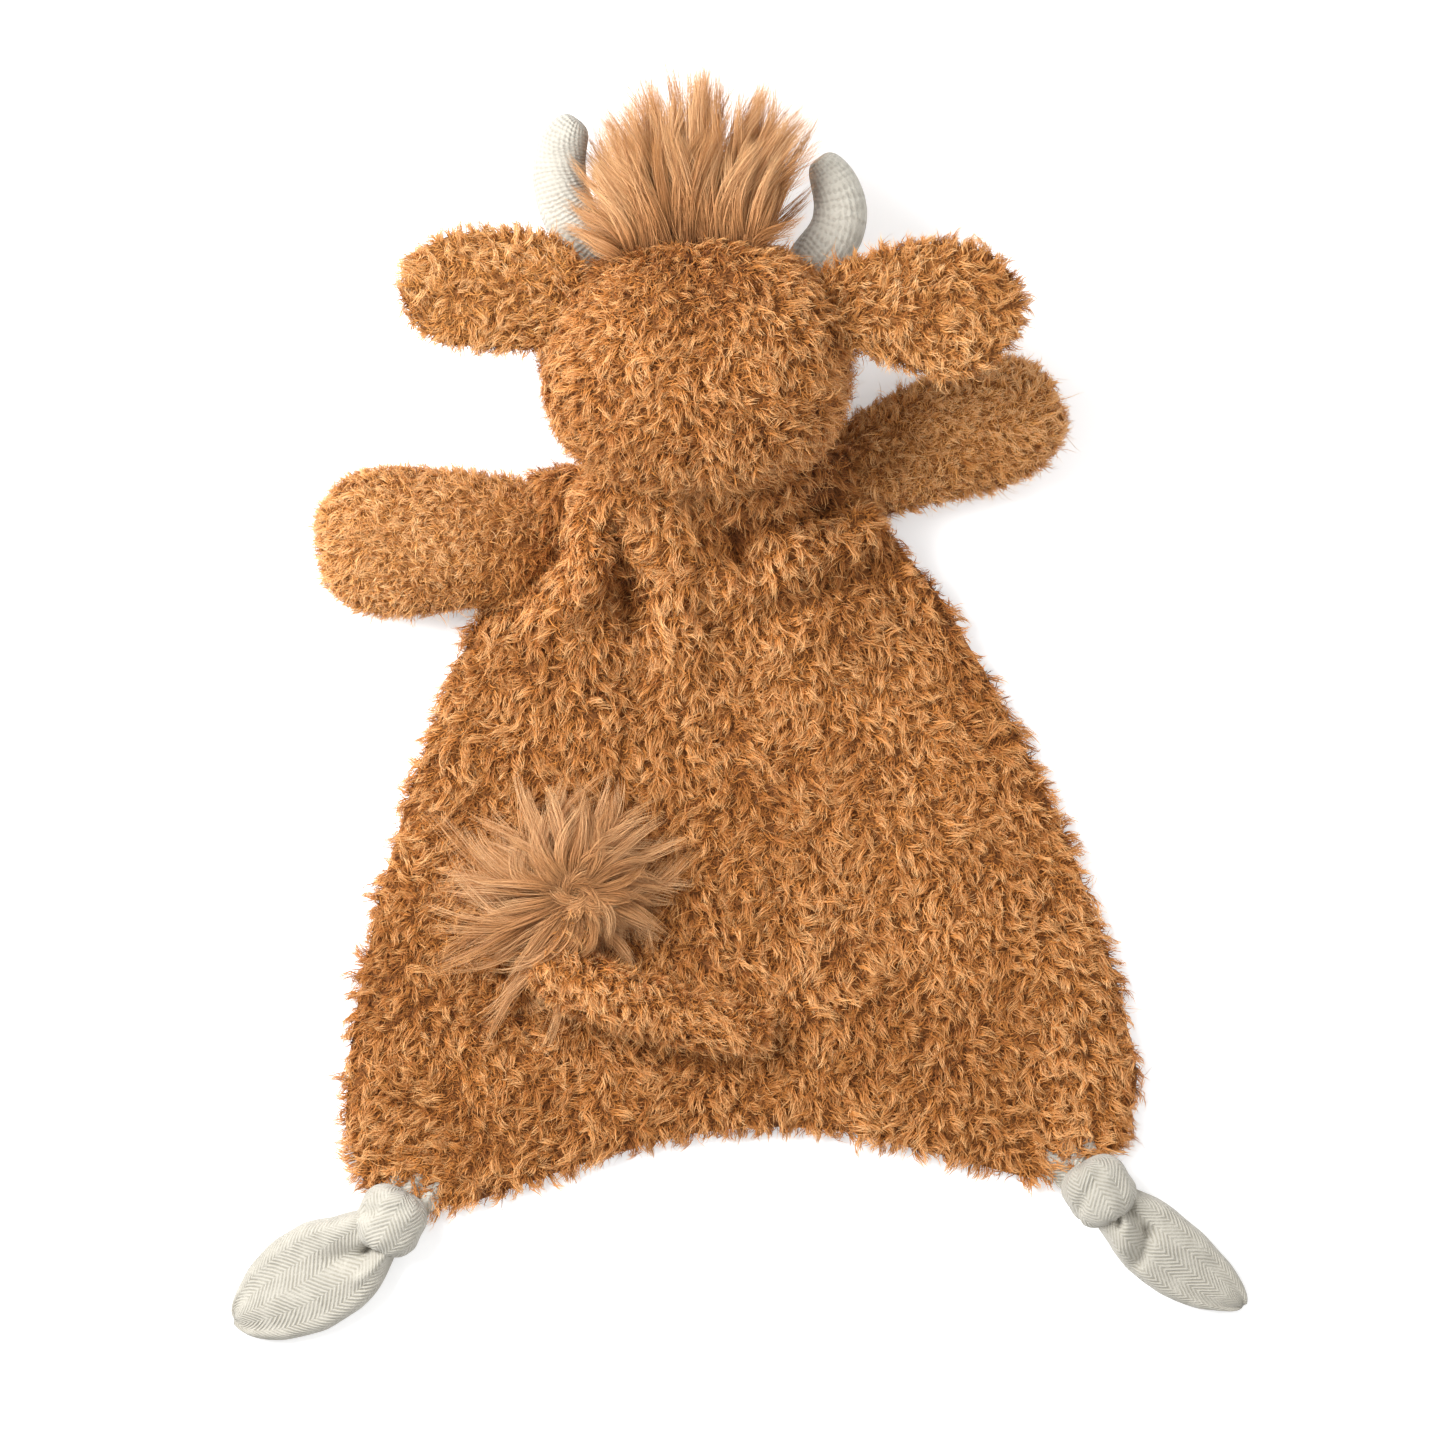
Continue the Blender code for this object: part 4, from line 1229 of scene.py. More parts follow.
@dataclass
class Head:
    """The stuffed head, its muzzle and its stitched face, which is underneath as the toy lies."""

    shape: Ball = field(default_factory=lambda: Ball((HEAD_X, 111.4, 42.0), (37.2, 30.8, 28.4), 2.3))
    muzzle: Ball = field(default_factory=lambda: Ball((HEAD_X, 104.4, 14.0), (24.0, 18.0, 14.5), 2.0, 0.0))
    neck: Ball = field(default_factory=lambda: Ball((-9.5, 82.0, 29.0), (27.0, 9.0, 11.0), 2.1))
    hinge: Point = (-9.5, 82.0, 25.1)
    bend: tuple[float, float] = (10.0, 10.0)
    seam_depth: float = 1.3
    tone: float = 0.64
    # The stitched features: name, inner and outer end (aside from the middle, y, z), radius, faces round and along
    features: tuple[tuple[str, Point, Point, float, int, int], ...] = (
        ("eye", (17.6, 131.1, 23.2), (18.6, 133.1, 20.7), 4.2, 24, 12),
        ("nostril", (11.1, 117.1, 8.0), (11.8, 118.7, 6.8), 2.6, 20, 10),
    )
    eye: Point = (18.1, 132.2, 21.9)
    eye_clearing: float = 4.6
    half_sizes: tuple[float, float] = (38.0, 31.0)  # across and up the head, with its pile
    neck_inside: tuple[float, float] = (87.0, 40.0)  # the greatest y and z that the neck hides
    neck_shown: float = 90.0  # the greatest y at which the gathered neck shows

    def relief(self, angle: Array, along: Array) -> Array:
        """The seams' grooves and the stuffing's lumps.

        Args:
            angle: The angle round the head.
            along: The share along it.

        Returns:
            The height over the shape at each pair.
        """
        theta = np.arccos(np.clip(1 - 2 * along, -1, 1))
        x, y, z = np.sin(theta) * np.cos(angle), np.sin(theta) * np.sin(angle), -np.cos(theta)
        seam = bump(x, 0, 0.05) * smooth(z, -0.1, 0.3)
        return 0.8 * lumps(np.c_[x, y, z] * 30, 16, 8) - self.seam_depth * seam

    def nap(self, roots: Array) -> Array:
        """The way the pile leans: down from the crown and out to the sides.

        Args:
            roots: Where the tufts are rooted.

        Returns:
            The direction at each root.
        """
        centre = np.array(self.shape.centre)
        aside = (roots[:, 0] - centre[0]) / self.half_sizes[0]
        rise = np.clip((roots[:, 1] - centre[1]) / self.half_sizes[1], -1, 1)
        way = np.c_[aside * 0.9, -0.75 - 0.2 * rise + 0.9 * smooth(rise, 0.55, 1.0), np.zeros(len(roots))]
        under = roots[:, 2] < centre[2]
        return unit(np.where(under[:, None], unit(roots - centre) * (1, 1, 0.2) + (0, 0.3, 0), way))

    def clear_of_muzzle(self, middles: Array) -> Array:
        """Which faces are not under the muzzle or the eyes, or inside the neck.

        Args:
            middles: The middles of the faces.

        Returns:
            One yes or no a face.
        """
        away = (middles - np.array(self.muzzle.centre)) / (np.array(self.muzzle.half_sizes) + 1.0)
        clear = np.linalg.norm(away, axis=1) > 1
        aside, y, z = self.eye
        for side in Side:
            eye = np.array((HEAD_X + side.value * aside, y, z))
            clear &= np.linalg.norm(middles - eye, axis=1) > self.eye_clearing
        return clear & ((middles[:, 1] > self.neck_inside[0]) | (middles[:, 2] > self.neck_inside[1]))

    def build(self, sewing: Sewing) -> None:
        """Makes the head's panels and their pile, the neck, the muzzle and the face.

        Args:
            sewing: What makes the pieces.
        """
        hold, centre = Hold("head"), self.shape.centre
        whole = wrap(self.shape, 56, 40, self.relief)
        panels = (
            ("head_back_left", (), lambda m: (m[:, 2] > centre[2]) & (m[:, 0] < centre[0]), 21),
            ("head_back_right", (), lambda m: (m[:, 2] > centre[2]) & (m[:, 0] >= centre[0]), 22),
            ("face_panel", ("head_stuffing",), lambda m: m[:, 2] <= centre[2], 23),
        )
        for name, inside, keep, seed in panels:
            skin = whole.part(keep)
            sewing.cloth(f"{name}_cloth", skin, Finish.CARAMEL, hold, name, *inside, fill=0.8)
            strands = plush(skin.part(self.clear_of_muzzle), PileKind.HEAD, self.nap, seed, 1.0, self.tone)
            sewing.pile(f"{name}_pile", strands, Finish.CARAMEL, hold)
        self.gather(sewing)
        muzzle = wrap(self.muzzle, 40, 28, lambda a, s: 0.5 * lumps(np.c_[np.cos(a), np.sin(a), s] * 20, 18, 9), 120.0)
        sewing.cloth("muzzle_cloth", muzzle, Finish.TAB, hold, "muzzle_cover", "muzzle_stuffing", fill=0.9)
        for side in Side:
            for name, start, end, radius, columns, rings in self.features:
                line = tuple((HEAD_X + side.value * aside, y, z) for aside, y, z in (start, end))
                form = Form(line, radius, radius, bluntness=2, up=(0, 1, 0))
                stitching = wrap(form, columns, rings)
                sewing.cloth(f"{side.word}_{name}_stitching", stitching, Finish.STITCH, hold, f"{side.word}_{name}")

    def gather(self, sewing: Sewing) -> None:
        """Makes the plush gathered at the neck, which joins the head to the blanket.

        Args:
            sewing: What makes the pieces.
        """
        skin = wrap(self.neck, 44, 28, lambda a, s: 1.3 * lumps(np.c_[np.cos(a) * 28, np.sin(a) * 10, s * 20], 15, 17))
        hold = across_joint("blanket", "head", self.hinge, (0, 1, 0.6), *self.bend)
        sewing.cloth("neck_gather_cloth", skin, Finish.CARAMEL, hold, fill=0.5)
        shown = skin.part(lambda m: m[:, 1] < self.neck_shown)
        strands = plush(shown, PileKind.WAVY, lambda roots: np.tile((0.0, -1.0, 0.0), (len(roots), 1)), 27)
        sewing.pile("neck_gather_pile", strands, Finish.CARAMEL, hold)


@dataclass
class Horn:
    """A stuffed cream horn, sewn to the crown."""

    side: Side
    spine: tuple[Point, ...]
    hinge: Point
    radius: float = 7.2
    bend: tuple[float, float] = (4.0, 3.0)
    widths: Table = ((0, 0.95), (0.2, 1.0), (0.4, 1), (0.62, 0.97), (0.85, 0.88), (1, 0.8))

    def relief(self, angle: Array, along: Array) -> Array:
        """A seam along its inner edge, and slight puckers.

        Args:
            angle: The angle round the horn.
            along: The share along it.

        Returns:
            The height over the form at each pair.
        """
        seam = bump(np.cos(angle - math.pi), 1, 0.06)
        return 0.3 * np.sin(9 * angle + 5 * along) * bump(along, 0.1, 0.2) - 0.35 * seam * smooth(along, 0.05, 0.2)

    def build(self, sewing: Sewing) -> None:
        """Makes the horn.

        Args:
            sewing: What makes the pieces.
        """
        form = Form(self.spine, self.radius, self.radius, self.widths, self.widths, 4.2)
        way = np.array(self.hinge) - np.array(self.spine[0])
        name = f"{self.side.word}_horn"
        hold = across_joint("head", name, self.hinge, way, *self.bend)
        skin = wrap(form, 32, 40, self.relief)
        sewing.cloth(f"{name}_cloth", skin, Finish.HORN, hold, f"{name}_cover", f"{name}_stuffing", fill=0.9)


@dataclass
class Ear:
    """A flat ear of plush with a cream lining, pinched where it is sewn to the head."""

    side: Side
    spine: tuple[Point, ...]
    hinge: Point
    half_width: float
    widths: Table
    seed: int
    tone: float
    half_height: float = 3.6
    bend: tuple[float, float] = (3.0, 4.0)
    heights: Table = ((0, 0.9), (0.3, 1), (1, 0.85))

    def relief(self, angle: Array, along: Array) -> Array:
        """The fold pinched in at the root.

        Args:
            angle: The angle round the ear.
            along: The share along it.

        Returns:
            The height over the form at each pair.
        """
        pinch = bump(np.cos(angle), 0.1, 0.28) * (1 - smooth(along, 0.1, 0.55))
        return -1.6 * pinch + 0.5 * np.sin(7 * angle) * bump(along, 0.15, 0.15)

    def build(self, sewing: Sewing) -> None:
        """Makes the ear's panels and the pile on its back.

        Args:
            sewing: What makes the pieces.
        """
        form = Form(self.spine, self.half_width, self.half_height, self.widths, self.heights, 3.4)
        whole = wrap(form, 40, 28, self.relief, 60.0)
        way = np.array(self.spine[1]) - np.array(self.spine[0])
        ear = f"{self.side.word}_ear"
        hold = across_joint("head", ear, self.hinge, way, *self.bend)
        edge = self.spine[0][2] - 0.8
        back = whole.part(lambda m: m[:, 2] > edge)
        lining = whole.part(lambda m: m[:, 2] <= edge)
        sewing.cloth(f"{ear}_back_cloth", back, Finish.CROPPED, hold, f"{ear}_back", fill=0.2)
        sewing.cloth(f"{ear}_lining_cloth", lining, Finish.EAR_LINING, hold, f"{ear}_lining", fill=0.2)
        nap = outward(tuple(np.array(self.spine).mean(0)), tuple(way), 0.45)
        strands = plush(back, PileKind.HEAD, nap, self.seed, 1.0, self.tone)
        sewing.pile(f"{ear}_pile", strands, Finish.CROPPED, hold)


@dataclass
class Arm:
    """A stuffed plush arm, sewn into the blanket's edge at the shoulder."""

    side: Side
    half_width: float
    spine: tuple[Point, ...]
    hinge: Point
    droop: Point
    # the line of a painted shadow where the arm meets the blanket, from x, y to x, y
    crease: tuple[tuple[float, float], tuple[float, float]]
    seed: int
    tone: float
    half_height: float = 10.9
    bend: tuple[float, float] = (3.0, 9.0)
    widths: Table = ((0, 0.84), (0.22, 0.88), (0.6, 1), (0.85, 1), (1, 0.9))
    heights: Table = ((0, 0.6), (0.2, 0.80), (0.45, 1), (0.8, 1), (1, 0.9))

    def relief(self, angle: Array, along: Array) -> Array:
        """Puckers at the shoulder and the stuffing's lumps.

        Args:
            angle: The angle round the arm.
            along: The share along it.

        Returns:
            The height over the form at each pair.
        """
        puckers = np.sin(6 * angle + 1) * bump(along, 0.12, 0.12)
        x = np.c_[np.cos(angle) * 14, np.sin(angle) * 9, along * 55]
        return 0.9 * puckers + 0.8 * lumps(x, 17, self.seed)

    def shade(self, roots: Array) -> Array:
        """How pale the arm's tufts are: painted shade by the shoulder, and a painted shadow along the line where the
        arm meets the blanket.

        Args:
            roots: Where the tufts are rooted.

        Returns:
            The tone at each root.
        """
        # painted shade near the shoulder and along the painted shadow line
        shoulder = 1 - smooth(np.linalg.norm(roots - np.array(self.hinge), axis=1), 3, 24)
        crease = bump(distance(roots[:, :2], *self.crease), 0, 4.5)
        return self.tone - 0.50 * shoulder - 0.7 * crease

    def build(self, sewing: Sewing) -> None:
        """Makes the arm's two panels and their pile.

        Args:
            sewing: What makes the pieces.
        """
        form = Form(self.spine, self.half_width, self.half_height, self.widths, self.heights, 3.2, 0.0)
        whole = wrap(form, 48, 40, self.relief)
        way = np.array(self.spine[-1]) - np.array(self.spine[0])
        arm = f"{self.side.word}_arm"
        hold = across_joint("blanket", arm, self.hinge, way * (1, 1, 0), *self.bend)
        level = self.spine[1][2]
        nap = outward(tuple(np.array(self.spine[0]) + 0.35 * way), self.droop, 0.45)
        panels = (
            (f"{arm}_back", (), lambda m: m[:, 2] > level, self.seed, 1.0),
            (f"{arm}_front", (f"{arm}_stuffing",), lambda m: m[:, 2] <= level, self.seed + 1, 0.6),
        )
        for name, inside, keep, seed, amount in panels:
            skin = whole.part(keep)
            sewing.cloth(f"{name}_cloth", skin, Finish.CROPPED, hold, name, *inside, fill=0.7)
            strands = plush(skin, PileKind.LIMB, nap, seed, amount, self.shade)
            sewing.pile(f"{name}_pile", strands, Finish.CROPPED, hold)


@dataclass
class Lock:
    """How locks of long hair are made: sizes in millimetres.

    Attributes:
        fibres: Fibres in a lock.
        spread: A lock's radius.
        curl: How far it waves from side to side.
        shortest: The shortest fibre, as a share of the lock.
        width: A fibre's width.
        tone: How pale the locks are on average, from 0 to 1.
        segments: Faces along a fibre.
    """

    fibres: int
    spread: float
    curl: float
    shortest: float
    width: float
    tone: float = 0.40
    segments: int = 9


def comb(roots: Array, tips: Array, arch: Array, lock: Lock, seed: int) -> Strands:
    """Locks of long hair, each swelling from its root and closing to a point.

    Args:
        roots: Where each lock is rooted.
        tips: Where each lock ends.
        arch: How each lock bows on the way, as a vector added at its middle.
        lock: The locks' make.
        seed: Picks the pattern.

    Returns:
        The fibres.
    """
    # The fibres: where in its lock each is rooted, and how long it is
    rng = np.random.default_rng(seed)
    n = len(roots) * lock.fibres
    of = np.repeat(np.arange(len(roots)), lock.fibres)
    run = tips - roots
    side = unit(np.cross(run, UP))
    lift = unit(np.cross(side, run))
    reach, angle = lock.spread * np.sqrt(rng.uniform(size=n)), rng.uniform(0, 2 * np.pi, n)
    offset = side[of] * (reach * np.cos(angle))[:, None] + lift[of] * (0.7 * reach * np.sin(angle))[:, None]
    share = (1.04 - (1 - lock.shortest) * rng.uniform(size=n) ** 1.3)[:, None, None]

    # Their paths: along the lock, apart in its middle and together at its tip
    t = np.linspace(0, 1, lock.segments + 1)[None, :, None]
    swell = (0.62 + 0.9 * t) * (1 - (t * share) ** 2.2 * 0.97)
    phase = rng.uniform(0, 2 * np.pi, len(roots))[of][:, None, None]
    sway = lock.curl * (np.sin(2.6 * t + phase) - np.sin(phase)) * t
    long = np.linalg.norm(run[of], axis=1)[:, None]
    stray = rng.normal(size=(n, 3)) * 0.022 * long + rng.standard_t(2.5, (n, 3)).clip(-4, 4) * 0.007 * long
    lines = (
        roots[of][:, None]
        + run[of][:, None] * t * share
        + arch[of][:, None] * (4 * t * (1 - t) * share)
        + offset[:, None] * swell
        + side[of][:, None] * sway
        + stray[:, None] * t**1.6
    )

    # The way that each blade faces, and how pale it is
    roll = rng.uniform(-1.3, 1.3, n)
    facing = UP * np.cos(roll)[:, None] + side[of] * np.sin(roll)[:, None]
    tone = lock.tone + rng.uniform(-0.42, 0.42, len(roots))[of]
    tones = (tone + 0.26 * rng.normal(size=n)).clip(0, 1)
    widths = lock.width * rng.uniform(0.6, 1.2, n)
    return Strands(lines, widths, unit(np.cross(run[of], facing)), tones, np.ones(n))


@dataclass
class Topknot:
    """The long hair on the crown, combed up into a fan of pointed locks."""

    # Where the outer locks end: share from left to right, with x and y
    fan: tuple[tuple[float, float, float], ...] = (
        (0.0, -43.0, 149.0), (0.04, -44.0, 156.0), (0.09, -40.0, 162.5), (0.14, -40.5, 170.0), (0.20, -38.0, 176.5),
        (0.27, -31.0, 180.0), (0.38, -25.0, 187.0), (0.50, -14.0, 191.0), (0.62, -6.5, 190.5), (0.74, 2.5, 188.0),
        (0.86, 13.0, 184.0), (0.94, 20.5, 178.0), (1.0, 19.0, 158.0),
    )
    root_middle: Point = (-11.0, 140.5, 43.0)
    root_width: float = 33.0
    locks: int = 156
    # The locks stand in layers, from the front to the back: how long each is, and how high it stands
    lengths: tuple[float, ...] = (1.0, 0.95, 0.82, 0.64)
    depths: tuple[float, ...] = (-0.8, -0.1, 0.55, 1.0)
    lock: Lock = field(default_factory=lambda: Lock(84, 1.9, 2.4, 0.6, 0.17))
    base_line: tuple[Point, ...] = ((-10.5, 136.0, 42.0), (-10.5, 160.0, 42.0))
    base_half: tuple[float, float] = (15.5, 8.0)  # half its width and height
    base_widths: Table = ((0, 0.9), (0.5, 1), (1, 0.9))

    def build(self, sewing: Sewing) -> None:
        """Makes the hair and the dark base that it springs from.

        Args:
            sewing: What makes the pieces.
        """
        rng = np.random.default_rng(51)
        place, xs, ys = np.array(self.fan).T
        layer = np.arange(self.locks) % len(self.lengths)
        share = np.sort(rng.uniform(size=self.locks)) * 0.35 + np.linspace(0, 1, self.locks) * 0.65
        full = np.array(self.lengths)[layer] * rng.uniform(0.93, 1.0, self.locks)
        depth = np.array(self.depths)[layer]
        x, y, z = self.root_middle
        x_root = x + (share - 0.5) * self.root_width
        roots = np.c_[x_root, y - 0.9 * layer + 1.8 * rng.normal(size=self.locks), z + depth * 9.0]
        tip_x = np.interp(share, place, xs) + rng.normal(size=self.locks) * 2.6
        tip_y = np.interp(share, place, ys)
        x_tip = x_root + (tip_x - x_root) * full
        y_tip = roots[:, 1] + (tip_y - roots[:, 1]) * full
        tips = np.c_[x_tip, y_tip, 42 + depth * 10.0 + 1.5 * rng.normal(size=self.locks)]
        bend = 1.8 * rng.normal(size=self.locks)
        arch = np.c_[(share - 0.5) * -7.0 + bend, np.zeros(self.locks), 1.0 + 3.0 * np.maximum(depth, 0)]
        hold = Hold("head")
        base = wrap(Form(self.base_line, *self.base_half, self.base_widths, bluntness=2.6), 32, 20)
        sewing.cloth("topknot_base_cloth", base, Finish.HAIR, hold, "topknot")
        sewing.pile("topknot_hair", comb(roots, tips, arch, self.lock, 52), Finish.HAIR, hold)


@dataclass
class Tail:
    """The plush tail, and the long-haired tuft that lies coiled on the blanket."""

    spine: tuple[Point, ...] = (
        (7.89, -58.64, 10.6), (-28.2, -50.97, 13.3), (-65.76, -42.98, 13.3), (-35.02, -24.23, 13.3),
    )
    radius: float = 7.2
    widths: Table = ((0, 0.75), (0.3, 0.9), (0.6, 1), (1, 1))
    hinge: Point = (4.66, -57.95, 10.6)
    way: Point = (-0.978, 0.208, 0.0)
    bend: tuple[float, float] = (3.0, 6.0)
    tone: float = 0.95
    under_tuft: tuple[float, float] = (-45.0, -38.0)  # from here, in x and y, the tuft hides the tail
    fan: Point = (-30, -40, -20)  # the tail's pile fans out from this point, which is below it
    heart: Ball = field(default_factory=lambda: Ball((-39.0, -22.5, 13.0), (13.0, 11.0, 4.0)))
    centre: Point = (-40.5, -22.0, 17.0)
    # How far the tuft's locks reach: degrees from +X, with a length
    reach: Table = (
        (0, 33.0), (20, 28.0), (45, 33.0), (70, 34.0), (90, 30.0), (106, 33.0), (130, 33.0), (150, 34.0),
        (175, 39.0), (200, 38.0), (225, 45.0), (245, 43.0), (262, 31.0), (280, 20.0), (300, 16.0), (330, 19.0),
        (350, 32.0), (360, 33.0),
    )
    locks: int = 120
    crossing: int = 26
    underneath: int = 48
    outer: Lock = field(default_factory=lambda: Lock(64, 1.6, 2.8, 0.5, 0.16, 0.56))
    whorl: Lock = field(default_factory=lambda: Lock(60, 1.4, 2.2, 0.5, 0.16, 0.56))
    under: Lock = field(default_factory=lambda: Lock(40, 2.2, 2.0, 0.5, 0.17))

    def build(self, sewing: Sewing) -> None:
        """Makes the tail, its pile and its tuft.

        Args:
            sewing: What makes the pieces.
        """
        whole = wrap(Form(self.spine, self.radius, self.radius, self.widths, self.widths, 5), 24, 56)
        hold = across_joint("blanket", "tail", self.hinge, self.way, *self.bend)
        sewing.cloth("tail_cloth", whole, Finish.CARAMEL, hold, "tail_cover", "tail_stuffing", fill=0.7)
        x, y = self.under_tuft
        tube = whole.part(lambda m: (m[:, 0] > x) | (m[:, 1] < y))
        nap = outward(self.fan, (0.6, -1, 0.0), 0.5)
        sewing.pile("tail_pile", plush(tube, PileKind.HEAD, nap, 61, 1.2, self.tone), Finish.CARAMEL, hold)
        self.tuft(sewing)

    def tuft(self, sewing: Sewing) -> None:
        """Makes the tuft: locks that leave a whorl and lie outwards on the blanket.

        Args:
            sewing: What makes the pieces.
        """
        # The locks that lie outwards
        rng = np.random.default_rng(62)
        count, middle = self.locks, np.array(self.centre)
        turn = np.radians(360 * (np.arange(count) + 0.8 * rng.uniform(size=count)) / count)
        angles, lengths = np.array(self.reach).T
        layer = (np.arange(count) % 3) / 2
        long = np.interp(np.degrees(turn), angles, lengths) * (1.0 - 0.34 * layer) * rng.uniform(0.86, 1.02, count)
        out = np.c_[np.cos(turn), np.sin(turn)]
        swirl = np.c_[-out[:, 1], out[:, 0]]
        roots = np.c_[middle[:2] + out * (1.0 + 4.0 * (1 - layer))[:, None], middle[2] - 3 + 5.0 * layer]
        lean = rng.normal(size=count) * 0.26
        tips_xy = middle[:2] + out * long[:, None] + swirl * (long * lean)[:, None]
        tips = np.c_[tips_xy, 9.2 + 5.0 * layer + 1.5 * rng.uniform(size=count)]
        arch = np.c_[swirl * 4.2 * rng.normal(0.6, 0.9, count)[:, None], 2.0 + 2.5 * layer]
        outer = comb(roots, tips, arch, self.outer, 63)

        # The short ones that cross over the middle
        turn = rng.uniform(0, 2 * np.pi, self.crossing)
        out = np.c_[np.cos(turn), np.sin(turn), np.zeros(self.crossing)]
        roots = middle - out * rng.uniform(2.0, 5.0, self.crossing)[:, None] + (0, 0, 2.0)
        tips = middle + out * rng.uniform(8.0, 15.0, self.crossing)[:, None] + (0, 0, 1.5)
        whorl = comb(roots, tips, np.cross(UP, out) * 4.0 + UP * 2.5, self.whorl, 64)

        # The ones that fill in underneath
        turn = np.linspace(0, 2 * np.pi, self.underneath, endpoint=False)
        out = np.c_[np.cos(turn), np.sin(turn), np.zeros(self.underneath)]
        roots = middle + out * rng.uniform(0.0, 8.0, self.underneath)[:, None] - (0, 0, 6.5)
        tips = roots + out * rng.uniform(9.0, 20.0, self.underneath)[:, None]
        under = comb(roots, tips, -0.6 * UP * np.ones((self.underneath, 1)), self.under, 65)

        hold = Hold("tail")
        sewing.cloth("tail_tuft_base_cloth", wrap(self.heart, 28, 14), Finish.HAIR, hold, "tail_tuft")
        sewing.pile("tail_tuft_hair", joined([outer, whorl, under]), Finish.HAIR, hold)


@dataclass
class Tab:
    """A knotted tab of cream fabric on one corner of the blanket: a short strap, the knot and a leaf-shaped end."""

    side: Side
    strap: tuple[Point, ...]
    knot: tuple[Point, ...]
    leaf: tuple[Point, ...]
    hinge: Point
    half_width: float
    widths: Table
    # Hollows and ridges of the leaf: from across, along to across, along, with a height and a width, in millimetres
    folds: Lines
    half_height: float = 4.6
    strap_half: tuple[float, float] = (6.6, 1.9)  # half its width and height
    knot_half: tuple[float, float] = (9.0, 7.3)
    bend: tuple[float, float] = (1.5, 3.0)
    strap_widths: Table = ((0, 1.7), (0.5, 1.2), (1, 0.9))
    knot_widths: Table = ((0, 0.94), (0.3, 1.0), (0.5, 0.97), (0.7, 1.0), (1, 0.9))
    heights: Table = ((0, 1), (0.4, 1), (1, 0.7))

    def leaf_relief(self, angle: Array, along: Array) -> Array:
        """Pleats that fan out of the knot, the leaf's folds and a rolled edge.

        Args:
            angle: The angle round the leaf.
            along: The share along it.

        Returns:
            The height over the form at each pair.
        """
        w = np.cos(angle)
        long = float(np.linalg.norm(np.subtract(self.leaf[-1], self.leaf[0])))
        pleats = 0.8 * np.cos(9.0 * w + 0.6) * (1 - smooth(along, 0.08, 0.35))
        folded = pleats + ridges(self.folds, np.c_[w * self.half_width, along * long])
        edge = 0.8 * bump(np.abs(w), 0.84, 0.14) * smooth(along, 0.2, 0.4)
        rough = 0.35 * lumps(np.c_[w * 12, angle * 4, along * 45], 9, 4)
        return folded * smooth(np.sin(angle), -0.2, 0.3) + edge + rough

    def strap_relief(self, angle: Array, along: Array) -> Array:
        """Gathers towards the knot, and the slit between the strap's two edges.

        Args:
            angle: The angle round the strap.
            along: The share along it.

        Returns:
            The height over the form at each pair.
        """
        w = np.cos(angle)
        slit = -2.6 * bump(w, 0.42, 0.10) * bump(along, 0.62, 0.16)
        return (slit + 0.5 * np.cos(11 * w)) * smooth(np.sin(angle), -0.1, 0.3)

    def knot_relief(self, angle: Array, along: Array) -> Array:
        """The turns of the knot: a groove that winds round it, and slight gathers."""
        groove = -1.0 * bump(np.cos(angle - 3.4 * along - 0.6), 1.0, 0.05) * bump(along, 0.5, 0.34)
        return groove + 0.2 * np.sin(9 * angle - 7 * along)

    def build(self, sewing: Sewing) -> None:
        """Makes the strap, the knot and the leaf.

        Args:
            sewing: What makes the pieces.
        """
        tab = f"{self.side.word}_tab"
        way = np.array(self.strap[1]) - np.array(self.strap[0])
        root, free = across_joint("blanket", tab, self.hinge, way, *self.bend), Hold(tab)
        strap = Form(self.strap, *self.strap_half, self.strap_widths, bluntness=6)
        knot = Form(self.knot, *self.knot_half, self.knot_widths, bluntness=3.2, floor=0.0)
        leaf = Form(self.leaf, self.half_width, self.half_height, self.widths, self.heights, 3, 0.0)
        for name, skin, hold, fill in (
            (f"{tab}_strap", wrap(strap, 64, 24, self.strap_relief, 30.0), root, 0.1),
            (f"{tab}_knot", wrap(knot, 40, 32, self.knot_relief, 55.0), free, 0.8),
            (f"{tab}_leaf", wrap(leaf, 96, 64, self.leaf_relief, 70.0), free, 0.2),
        ):
            sewing.cloth(f"{name}_cloth", skin, Finish.TAB, hold, name, fill=fill)


